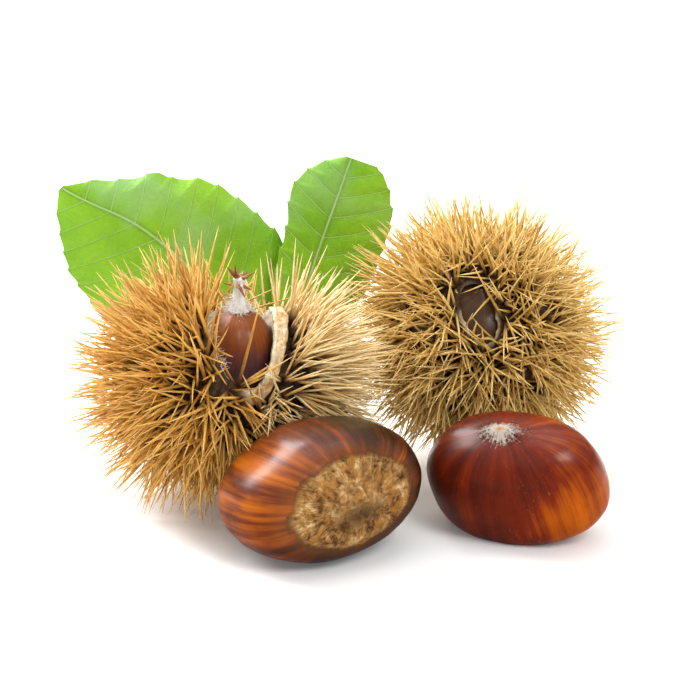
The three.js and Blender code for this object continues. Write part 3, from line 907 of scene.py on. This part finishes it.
def outward_normals(piece):
    flat = np.empty(len(piece.data.vertices) * 3, dtype=np.float32)
    piece.data.vertices.foreach_get("normal", flat)
    return flat.reshape(-1, 3)


def clumps(points, seed, thinnest):
    """How thickly bristles grow: even over most of the skin, thin in patches a few millimetres wide."""
    return thinnest + (1 - thinnest) * rises(lump(points, CLUMP_SIZE, seed), -0.32, 0.02)


def finish_open_husk(body):
    """Raises the ivory rim, sinks the groove behind it and marks where bristles grow."""
    points = layout_points(body)
    normals = outward_normals(body)
    reach = np.minimum(oval_reach(points, LEFT_VALVE), oval_reach(points, RIGHT_VALVE))
    outside = rises(reach, *OUTSIDE)
    gap = gap_from_oval(points, OPEN_MOUTH)
    right_side = rises(points[:, 0], -22, -19)
    gap = gap + layered(points, RIM_EDGE_WAVES, 21)
    band = outside * right_side * (1 - rises(gap, RIM_WIDTH - 0.7, RIM_WIDTH + 0.1))
    groove = outside * right_side * rises(gap, RIM_WIDTH - 0.4, RIM_WIDTH + 0.7) * (1 - rises(gap, 5.2, 7.4))
    edge_bead = np.exp(-(((gap - RIM_WIDTH + 0.9) / 0.5) ** 2)) * band
    rough = layered(points, HUSK_ROUGHNESS, 3)
    lift = band * (0.15 + lump(points, 3.0, 8) * 0.3) + edge_bead * 0.45 - groove * GROOVE_DEPTH + rough
    move_points(body, points + normals * lift[:, None])
    set_attribute(body, "rim", np.clip(band * 1.3, 0, 1))
    set_attribute(body, "rim_across", np.clip(gap / RIM_WIDTH, 0, 1))
    set_attribute(body, "lining", 1 - outside)
    near_skin = rises(reach, 0.9, 0.96) * (1 - right_side)
    fan = outside * right_side * rises(gap, RIM_WIDTH + 0.4, RIM_WIDTH + 1.6)
    on_right = rises(points[:, 0], -20.5, -17.5)
    set_attribute(body, "bristled", np.maximum(near_skin, fan * (1 - on_right)) * clumps(points, 4, 0.75))
    set_attribute(body, "fanned", fan * on_right)
    left_lip = rises(-points[:, 0], 23, 25) * rises(points[:, 2], 29, 34)
    set_attribute(body, "downy", (1 - outside) * rises(reach, 0.78, 0.88) * left_lip)


def finish_closed_husk(body):
    """Roughens the skin, marks the slit's pale lip and where bristles grow."""
    points = layout_points(body)
    normals = outward_normals(body)
    outside = rises(oval_reach(points, CLOSED_HUSK), *OUTSIDE)
    gap = gap_from_oval(points, SLIT)
    rough = layered(points, HUSK_ROUGHNESS, 13)
    move_points(body, points + normals * rough[:, None])
    lower_edge = rises(-points[:, 2], -38.5, -36.5)
    set_attribute(body, "rim", outside * (1 - rises(gap, 0.5, 1.1)) * lower_edge * 0.8)
    set_attribute(body, "rim_across", np.zeros(len(points)))
    set_attribute(body, "lining", (1 - outside) * 0.35)
    set_attribute(body, "bristled", outside * rises(gap, 0.2, 0.8) * clumps(points, 14, 0.4))


# ---------------------------------------------------------------------------------------------------------
# Bristles, by Geometry Nodes
# ---------------------------------------------------------------------------------------------------------


class Growth:
    """Builds the bristle tree: tufts of tapered needles over a body, each kept clear of its neighbours."""

    INPUTS = (
        ("Spacing", "NodeSocketFloat"), ("Per Root", "NodeSocketInt"), ("Longest", "NodeSocketFloat"),
        ("Shortest", "NodeSocketFloat"), ("Root Radius", "NodeSocketFloat"), ("Spread", "NodeSocketFloat"),
        ("Comb", "NodeSocketVector"), ("Curl", "NodeSocketFloat"), ("Seed", "NodeSocketInt"),
        ("Neighbours", "NodeSocketObject"), ("Finish", "NodeSocketMaterial"), ("Grows", "NodeSocketString"),
    )
    IN_MILLIMETRES = ("spacing", "longest", "shortest", "root_radius", "curl")
    NEEDLE_SIDES = 4
    NEEDLE_JOINTS = 4
    DENSEST = 4.0e6  # roots on a square metre, before they are thinned to their spacing
    LIFT = 1.2 * MM  # a needle looks for what is in its way from this far along itself
    CLEARANCE = 0.3 * MM  # and stops this short of it
    STUNTED = 0.3  # a needle under this share of the shortest is left out
    TIP_RADIUS = 0.05
    SWIRL_RATES = (("X", 131.0), ("Y", 217.0), ("Z", 373.0))  # so that no two needles curl the same way

    def __init__(self):
        self.tree = bpy.data.node_groups.new("bristles", "GeometryNodeTree")
        self.tree.interface.new_socket("Geometry", in_out="INPUT", socket_type="NodeSocketGeometry")
        for name, kind in self.INPUTS:
            self.tree.interface.new_socket(name, in_out="INPUT", socket_type=kind)
        self.tree.interface.new_socket("Geometry", in_out="OUTPUT", socket_type="NodeSocketGeometry")
        self.given = self.tree.nodes.new("NodeGroupInput")
        self.result = self.tree.nodes.new("NodeGroupOutput")
        self.build()

    def add(self, kind, settings=None, inputs=None, output=0):
        node = self.tree.nodes.new(kind)
        for name, value in (settings or {}).items():
            setattr(node, name, value)
        sockets = [socket for socket in node.inputs if socket.enabled]
        for key, value in (inputs or {}).items():
            socket = sockets[key] if isinstance(key, int) else next(s for s in sockets if s.name == key)
            if isinstance(value, bpy.types.NodeSocket):
                self.tree.links.new(value, socket)
            else:
                socket.default_value = value
        outputs = [socket for socket in node.outputs if socket.enabled]
        return outputs[output] if isinstance(output, int) else next(s for s in outputs if s.name == output)

    def input(self, name):
        return self.given.outputs[name]

    def maths(self, operation, *values):
        return self.add("ShaderNodeMath", {"operation": operation}, dict(enumerate(values)))

    def vectors(self, operation, inputs, output=0):
        return self.add("ShaderNodeVectorMath", {"operation": operation}, inputs, output)

    def random(self, kind, low, high, seed_shift):
        seed = self.maths("ADD", self.input("Seed"), float(seed_shift))
        limits = {"Min": low, "Max": high, "Seed": seed}
        return self.add("FunctionNodeRandomValue", {"data_type": kind}, limits)

    def named(self, name, kind="FLOAT"):
        return self.add("GeometryNodeInputNamedAttribute", {"data_type": kind}, {"Name": name})

    def store(self, geometry, name, value, kind="FLOAT", domain="POINT"):
        settings = {"data_type": kind, "domain": domain}
        inputs = {"Geometry": geometry, "Name": name, "Value": value}
        return self.add("GeometryNodeStoreNamedAttribute", settings, inputs)

    def build(self):
        grows = self.named(self.input("Grows"))
        spread_out = self.add(
            "GeometryNodeDistributePointsOnFaces", {"distribute_method": "POISSON"},
            {"Mesh": self.input("Geometry"), "Distance Min": self.input("Spacing"),
             "Density Max": self.DENSEST, "Density Factor": grows, "Seed": self.input("Seed")}, "Points",
        )
        root_normal = spread_out.node.outputs["Normal"]
        roots = self.add(
            "GeometryNodeDuplicateElements", {"domain": "POINT"},
            {0: spread_out, "Amount": self.input("Per Root")},
        )
        jitter = self.random("FLOAT_VECTOR", (-1.0, -1.0, -1.0), (1.0, 1.0, 1.0), 11)
        lean = self.vectors("SCALE", {"Vector": jitter, "Scale": self.input("Spread")})
        upright = self.vectors("ADD", {0: root_normal, 1: self.input("Comb")})
        direction = self.vectors("NORMALIZE", {0: self.vectors("ADD", {0: upright, 1: lean})})

        wanted = self.random("FLOAT", self.input("Shortest"), self.input("Longest"), 23)
        here = self.add("GeometryNodeInputPosition")
        lift = self.vectors("SCALE", {"Vector": direction, "Scale": self.LIFT})
        lifted = self.vectors("ADD", {0: here, 1: lift})
        neighbours = self.add(
            "GeometryNodeObjectInfo", {"transform_space": "ORIGINAL"},
            {"Object": self.input("Neighbours")}, "Geometry",
        )
        ray = self.add(
            "GeometryNodeRaycast", {"data_type": "FLOAT"},
            {"Target Geometry": neighbours, "Source Position": lifted, "Ray Direction": direction,
             "Ray Length": wanted}, "Hit Distance",
        )
        is_hit = ray.node.outputs["Is Hit"]
        free = self.maths("ADD", ray, self.LIFT - self.CLEARANCE)
        room = self.maths("MINIMUM", wanted, free)
        choice = {"Switch": is_hit, "False": wanted, "True": room}
        length = self.add("GeometryNodeSwitch", {"input_type": "FLOAT"}, choice)
        too_short = self.add(
            "FunctionNodeCompare", {"data_type": "FLOAT", "operation": "LESS_THAN"},
            {0: length, 1: self.maths("MULTIPLY", self.input("Shortest"), self.STUNTED)},
        )
        kept_length = self.store(roots, "reach", length)
        kept_way = self.store(kept_length, "way", direction, "FLOAT_VECTOR")
        doomed = {0: kept_way, "Selection": too_short}
        rooted = self.add("GeometryNodeDeleteGeometry", {"domain": "POINT"}, doomed)

        reach = self.named("reach")
        way = self.named("way", "FLOAT_VECTOR")
        turn = self.add("FunctionNodeAlignRotationToVector", {"axis": "Z"}, {"Vector": way})
        girth = self.maths("MULTIPLY", self.input("Root Radius"), self.random("FLOAT", 0.75, 1.2, 37))
        scale = self.add("ShaderNodeCombineXYZ", {}, {"X": girth, "Y": girth, "Z": reach})
        planted = self.add(
            "GeometryNodeInstanceOnPoints", {},
            {"Points": rooted, "Instance": self.needle(), "Rotation": turn, "Scale": scale},
        )
        toned = self.store(planted, "tone", self.random("FLOAT", 0.0, 1.0, 41), domain="INSTANCE")
        real = self.add("GeometryNodeRealizeInstances", {}, {0: toned})
        self.tree.links.new(self.bent(real), self.result.inputs[0])

    def needle(self):
        """A needle one unit long and one in radius at its root, full in the middle and sharp at its end."""
        cone = self.add(
            "GeometryNodeMeshCone", {"fill_type": "NGON"},
            {"Vertices": self.NEEDLE_SIDES, "Side Segments": self.NEEDLE_JOINTS,
             "Radius Top": self.TIP_RADIUS, "Radius Bottom": 1.0, "Depth": 1.0}, "Mesh",
        )
        here = self.add("GeometryNodeInputPosition")
        height = self.add("ShaderNodeSeparateXYZ", {}, {0: here}, "Z")
        stored = self.store(cone, "along", height)
        fuller = self.maths("MULTIPLY_ADD", height, 1 - self.TIP_RADIUS, 1.0)
        girth = self.add("ShaderNodeCombineXYZ", {}, {"X": fuller, "Y": fuller, "Z": 1.0})
        place = self.vectors("MULTIPLY", {0: here, 1: girth})
        return self.add("GeometryNodeSetPosition", {}, {"Geometry": stored, "Position": place})

    def bent(self, needles):
        """Each needle curls a little its own way, more towards its end."""
        along = self.named("along")
        tone = self.named("tone")
        swings = {}
        for axis, rate in self.SWIRL_RATES:
            swings[axis] = self.maths("SINE", self.maths("MULTIPLY", tone, rate))
        swirl = self.add("ShaderNodeCombineXYZ", {}, swings)
        amount = self.maths("MULTIPLY", self.maths("MULTIPLY", along, along), self.input("Curl"))
        offset = self.vectors("SCALE", {"Vector": swirl, "Scale": amount})
        moved = self.add("GeometryNodeSetPosition", {}, {"Geometry": needles, "Offset": offset})
        smooth = self.add("GeometryNodeSetShadeSmooth", {}, {"Geometry": moved})
        return self.add("GeometryNodeSetMaterial", {}, {"Geometry": smooth, "Material": self.input("Finish")})

    def grow(self, name, ground, neighbours, finish, **sizes):
        """Grows bristles over a ground piece and returns them as a plain piece of their own."""
        piece = bpy.data.objects.new(name, ground.data.copy())
        bpy.context.scene.collection.objects.link(piece)
        growth = piece.modifiers.new("growth", "NODES")
        growth.node_group = self.tree
        by_name = {s.name: s.identifier for s in self.tree.interface.items_tree if s.in_out == "INPUT"}
        growth[by_name["Neighbours"]] = neighbours
        growth[by_name["Finish"]] = finish
        for key, value in sizes.items():
            socket = by_name[key.replace("_", " ").title()]
            growth[socket] = value * MM if key in self.IN_MILLIMETRES else value
        freeze(piece)
        piece.data.materials.clear()
        piece.data.materials.append(finish)
        points = layout_points(piece)
        points[:, 2] = np.maximum(points[:, 2], FLOOR_SKIN)
        move_points(piece, points)
        return piece


def share_out(piece, names):
    """Splits a piece of many loose needles into several pieces, needle by needle in turn."""
    size = Growth.NEEDLE_SIDES * (Growth.NEEDLE_JOINTS + 1)
    mesh = piece.data
    points = layout_points(piece)
    tones = np.empty(len(points), np.float32)
    alongs = np.empty(len(points), np.float32)
    mesh.attributes["tone"].data.foreach_get("value", tones)
    mesh.attributes["along"].data.foreach_get("value", alongs)
    faces = [tuple(polygon.vertices) for polygon in mesh.polygons]
    owner = np.array([face[0] // size for face in faces])
    pieces = []
    for k, name in enumerate(names):
        mine = (np.arange(len(points)) // size) % len(names) == k
        renumber = np.cumsum(mine) - 1
        my_faces = [tuple(renumber[i] for i in faces[f]) for f in np.flatnonzero(owner % len(names) == k)]
        part = new_piece(name, points[mine], my_faces, mesh.materials[0])
        set_attribute(part, "tone", tones[mine])
        set_attribute(part, "along", alongs[mine])
        pieces.append(part)
    bpy.data.objects.remove(piece)
    return pieces


def keep_clear(name, blockers, walls):
    """One hidden mesh of everything that a bur's bristles stop short of."""
    solids = [(layout_points(b), [tuple(p.vertices) for p in b.data.polygons]) for b in blockers]
    return new_piece(name, *gather(solids + walls), None)


def square(reach):
    """The corners of a flat square round the origin."""
    return [np.array([x * reach, y * reach, 0.0]) for x, y in ((-1, -1), (1, -1), (1, 1), (-1, 1))]


def wall(middle, facing):
    """A flat square across a direction."""
    turn = np.array(Vector(facing).to_track_quat("Z", "Y").to_matrix())
    return [np.array(middle) + turn @ corner for corner in square(WALL_REACH)], [(0, 1, 2, 3)]


# ---------------------------------------------------------------------------------------------------------
# Leaves
# ---------------------------------------------------------------------------------------------------------

VEIN_SWEEP = 0.42  # how far a side vein runs towards the tip for each millimetre out from the midrib
VEIN_CURVE = 0.008
TOOTH_DEPTH = 0.5
AWN_LENGTH = 0.9
AWN_RADIUS = 0.15
MARGIN_WANDER = 0.4
PILLOW_HEIGHT = 0.2  # how far the blade swells between its side veins
MARGIN_WAVE = 0.9  # how far the margin rises and falls
MARGIN_WAVELENGTH = 9.0
BLADE_BOW = 1.6  # how far the blade bends forward between tip and foot
BLADE_CUP = 3.0  # how far its margins fall back
FULL_BREADTH = 40  # the breadth of blade that waves and cups by the amounts above
RIB_HALF_WIDTH = 0.4
STALK_SIDES = 18


def eased(places, stops, ease):
    """A smooth line through given stops."""
    starts, values = zip(*stops)
    shifts = np.linspace(-ease, ease, 9)
    weights = np.hanning(11)[1:-1]
    lines = (w * np.interp(places + shift, starts, values) for shift, w in zip(shifts, weights))
    return sum(lines) / weights.sum()


def tooth(phase):
    """A forward-pointing tooth at each whole number: a short far edge and a long curved near one."""
    share = phase - np.floor(phase)
    return np.where(share < 0.86, (1 - share / 0.86) ** 1.6, (share - 0.86) / 0.14)


def make_leaf(name, leaf, material):
    """The blade as a thin closed sheet: pillowed between its veins, ribbed, toothed and bristle tipped."""
    rows, columns = 300, 34
    tip, foot = np.array(leaf["tip"], float), np.array(leaf["foot"], float)
    length = np.linalg.norm(foot - tip)
    down = (foot - tip) / length
    across = np.array(leaf["across"], float)
    side = across - down * across.dot(down)
    side /= np.linalg.norm(side)
    front = np.cross(side, down)
    front *= -math.copysign(1, front[1])

    rung = np.linspace(0, 1, rows + 1)
    s = rung * length
    shift = eased(s, leaf["midrib"], 5.0)
    steps = np.linspace(-1, 1, 2 * columns + 1)
    u = np.sign(steps) * np.abs(steps) ** 1.5
    grid_x = np.zeros((rows + 1, len(u)))
    for sign, margin in ((-1, leaf["lower"]), (1, leaf["upper"])):
        bare = eased(s, margin, 1.4)
        drift = [noise.noise(Vector((v * 0.13, sign * 3.1, leaf["seed"]))) for v in s]
        wander = MARGIN_WANDER * np.array(drift)
        phase = vein_phase(s, bare - sign * shift, leaf)
        edge = bare + TOOTH_DEPTH * rises(bare, 1.5, 6) * (tooth(phase) - 0.4) + wander * rises(bare, 0.5, 3)
        mask = u * sign > 0
        grid_x[:, mask] = u[mask][None, :] * np.maximum(edge, 0.25)[:, None]
    grid_x += shift[:, None] * (1 - u[None, :] ** 2)
    from_rib = grid_x - shift[:, None]
    grid_s = np.repeat(s[:, None], len(u), axis=1)
    phase = vein_phase(grid_s, np.abs(from_rib), leaf)
    room = np.minimum(grid_x - grid_x[:, :1], grid_x[:, -1:] - grid_x)
    inner = rises(np.abs(from_rib), 0.3, 2.5) * rises(room, 0.2, 4)
    pillow = PILLOW_HEIGHT * np.abs(np.sin(math.pi * phase)) ** 0.8 * inner
    breadth = (grid_x[:, -1:] - grid_x[:, :1]) / FULL_BREADTH
    to_margin = u[None, :] ** 2
    wave = MARGIN_WAVE * np.sin(grid_s / MARGIN_WAVELENGTH + leaf["seed"]) * to_margin
    wave = wave * np.sign(from_rib + 1e-9)
    bow = BLADE_BOW * np.sin(math.pi * rung)[:, None]
    cup = BLADE_CUP * to_margin * breadth
    rib = np.exp(-((from_rib / RIB_HALF_WIDTH) ** 2)) * (0.3 + 0.7 * rung[:, None])
    middle_depth = bow - cup + pillow + wave * breadth
    thin = 0.16 + 0.1 * inner

    def skin(depth):
        place = tip + grid_s[..., None] * down + grid_x[..., None] * side + depth[..., None] * front
        return place.reshape(-1, 3)

    front_skin = skin(middle_depth + thin + rib * 0.22)
    back_skin = skin(middle_depth - thin - rib * 0.75)
    count, width = len(front_skin), len(u)
    faces = []
    for r in range(rows):
        for c in range(width - 1):
            a = r * width + c
            faces.append((a, a + 1, a + width + 1, a + width))
            faces.append((count + a, count + a + width, count + a + width + 1, count + a + 1))
    loop = list(range(width - 1)) + [r * width + width - 1 for r in range(rows)]
    loop += [rows * width + c for c in range(width - 1, 0, -1)] + [r * width for r in range(rows, 0, -1)]
    faces += [(b, a, a + count, b + count) for a, b in zip(loop, loop[1:] + loop[:1])]
    if np.dot(np.cross(side, down), front) < 0:
        faces = [tuple(reversed(face)) for face in faces]
    points = np.concatenate([front_skin, back_skin])
    marks = np.stack([from_rib, np.repeat(rung[:, None], width, axis=1), phase], axis=-1).reshape(-1, 3)

    awns = []
    for sign, column in ((-1, 0), (1, width - 1)):
        edge_phase = np.floor(phase[:, column])
        for r in np.flatnonzero(edge_phase[1:] > edge_phase[:-1]) + 1:
            if abs(grid_x[r, column]) > 3 and 2 < s[r] < length * 0.8:
                root = front_skin.reshape(rows + 1, width, 3)[r, column]
                way = side * sign * 0.7 - down * 0.75
                shares = np.linspace(0, 1, 5)[:, None]
                path = root - way * 0.5 + way * (AWN_LENGTH + 0.5) * shares
                awns.append(tapered_tube(path, AWN_RADIUS * (1 - shares[:, 0]) + 0.02, 6))
    awn_points, awn_faces = gather(awns)
    all_points, all_faces = gather([(points, faces), (awn_points, awn_faces)])
    piece = new_piece(name, all_points, all_faces, material)
    awn_marks = np.tile([20.0, 0.0, 0.5], (len(awn_points), 1))
    set_attribute(piece, "leaf_place", np.concatenate([marks, marks, awn_marks]))
    set_attribute(piece, "back", np.repeat([0.0, 1.0, 0.0], [count, count, len(awn_points)]))
    return piece


def vein_phase(s, from_rib, leaf):
    """Counts the side veins: a whole number on each vein."""
    return (s + from_rib * VEIN_SWEEP + from_rib**2 * VEIN_CURVE) / leaf["vein_spacing"]


def make_stalk(name, leaf, material):
    """The stalk, from inside the blade's foot to the floor."""
    foot, end = np.array(leaf["foot"], float), np.array(leaf["stalk_end"], float)
    start = foot + (np.array(leaf["tip"], float) - foot) * 0.1
    shares = np.linspace(0, 1, 26)[:, None]
    bend = foot + (end - foot) * 0.5 + np.array([0, -0.8, 0])
    path = (1 - shares) ** 2 * start + 2 * shares * (1 - shares) * bend + shares**2 * end
    radii = 0.42 + 0.48 * shares[:, 0] ** 0.7 + 0.25 * rises(shares[:, 0], 0.85, 1)
    points, faces = tapered_tube(path, radii, STALK_SIDES)
    points = np.array(points)
    points[:, 2] = np.maximum(points[:, 2], FLOOR_SKIN)
    return new_piece(name, points, faces, material)


# ---------------------------------------------------------------------------------------------------------
# The making
# ---------------------------------------------------------------------------------------------------------


def settle(piece, slot, *nodes):
    """Every piece rides on the one body and may stand for CAD nodes. Its slot is not used."""
    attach(piece, "root")
    if nodes:
        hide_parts(*nodes)


add_camera()
bpy.context.scene.view_settings.view_transform = "Standard"
add_daylight(overhead=0.95, horizon=0.1)
add_softbox("left window", (-0.6, 0.46, 0.66), distance=0.7, size=(0.6, 0.45), power=10.5)
add_softbox("front window", (0.42, -0.62, 0.66), distance=0.75, size=(0.26, 0.3), power=2.8)
add_softbox("top light", (0.1, 0.1, 1), distance=0.8, size=(0.6, 0.6), power=1.7)

floor = new_piece("table", square(TABLE_REACH), [(0, 1, 2, 3)], floor_finish())

mahogany = chestnut_shell("mahogany shell", **MAHOGANY)
copper = chestnut_shell("copper shell", **COPPER)
fresh = chestnut_shell("fresh shell", **FRESH)
dull = chestnut_shell("dull shell", **DULL)
skin = husk_skin()
golden = bristle_finish("golden bristle", **GOLDEN)
cream = bristle_finish("cream bristle", **CREAM)
straw = bristle_finish("straw bristle", **STRAW)
felt = down_finish("white felt", FELT)
down_hair = down_finish("down hair", DOWN)
stigma_brown = bristle_finish("stigma brown", **STIGMA)
left_green = leaf_finish("left leaf green", LEFT_LEAF["vein_spacing"], 0.3)
right_green = leaf_finish("right leaf green", RIGHT_LEAF["vein_spacing"], 0.2)
stem_green = stalk_finish()

left_nut = make_nut("left_nut_shell", LEFT_NUT, copper, left_warmth_and_shade)
settle(left_nut, "nut_shell", "left_nut")
right_nut = make_nut("right_nut_shell", RIGHT_NUT, mahogany, right_warmth)
settle(right_nut, "nut_shell", "right_nut")
open_nut = make_nut("open_nut_shell", OPEN_BUR_NUT, fresh, open_warmth, 128, 88)
settle(open_nut, "nut_shell", "open_bur_nut")
neck = make_neck(OPEN_BUR_NUT, felt)
settle(neck, "nut_shell")
settle(make_stigmas(OPEN_BUR_NUT, stigma_brown), "nut_shell")
hidden_nut = make_nut("right_bur_nut_shell", RIGHT_BUR_NUT, dull, dull_warmth, 128, 88)
settle(hidden_nut, "dull_nut_shell", "right_bur_nut")

left_leaf = make_leaf("left_leaf_blade", LEFT_LEAF, left_green)
settle(left_leaf, "leaf", "left_leaf")
settle(make_stalk("left_leaf_stalk", LEFT_LEAF, stem_green), "leaf")
right_leaf = make_leaf("right_leaf_blade", RIGHT_LEAF, right_green)
settle(right_leaf, "leaf", "right_leaf")
settle(make_stalk("right_leaf_stalk", RIGHT_LEAF, stem_green), "leaf")

open_husk = husk_body("open_bur_skin", [LEFT_VALVE, RIGHT_VALVE], OPEN_BUR_NUT, OPEN_MOUTH, skin)
finish_open_husk(open_husk)
settle(open_husk, "golden_husk", "open_bur_husk")
closed_husk = husk_body("right_bur_skin", [CLOSED_HUSK], RIGHT_BUR_NUT, SLIT, skin)
finish_closed_husk(closed_husk)
settle(closed_husk, "straw_husk", "right_bur_husk")

open_middle, closed_middle = np.array(OPEN_BUR_MIDDLE), np.array(CLOSED_HUSK["middle"], float)
parting = (closed_middle - open_middle) * np.array([1, 1, 0])
parting /= np.linalg.norm(parting)
standing = [left_nut, right_nut, open_nut, hidden_nut, left_leaf, right_leaf]
table_wall = wall((0, 0, 0.1), (0, 0, 1))
near_wall = wall(open_middle + parting * BUR_PARTING, parting)
neighbours = keep_clear("neighbours", standing, [table_wall, near_wall])
far_wall = wall(open_middle + parting * (BUR_PARTING - BUR_MESHING), parting)
far_neighbours = keep_clear("far neighbours", standing, [table_wall, far_wall])

growth = Growth()
golden_bristles = growth.grow("golden", open_husk, neighbours, golden, **GOLDEN_GROWTH)
for part in share_out(golden_bristles, [f"open_bur_bristles_{k}" for k in range(1, 5)]):
    settle(part, "golden_husk")
cream_bristles = growth.grow("cream", open_husk, neighbours, cream, **CREAM_GROWTH)
for part in share_out(cream_bristles, [f"right_valve_bristles_{k}" for k in range(1, 3)]):
    settle(part, "golden_husk")
settle(growth.grow("open_bur_down", open_husk, neighbours, down_hair, **LINING_DOWN_GROWTH), "golden_husk")
settle(growth.grow("open_nut_down", neck, neighbours, down_hair, **NECK_DOWN_GROWTH), "nut_shell")
straw_bristles = growth.grow("straw", closed_husk, far_neighbours, straw, **STRAW_GROWTH)
for part in share_out(straw_bristles, [f"right_bur_bristles_{k}" for k in range(1, 5)]):
    settle(part, "straw_husk")
bpy.data.objects.remove(neighbours)
bpy.data.objects.remove(far_neighbours)
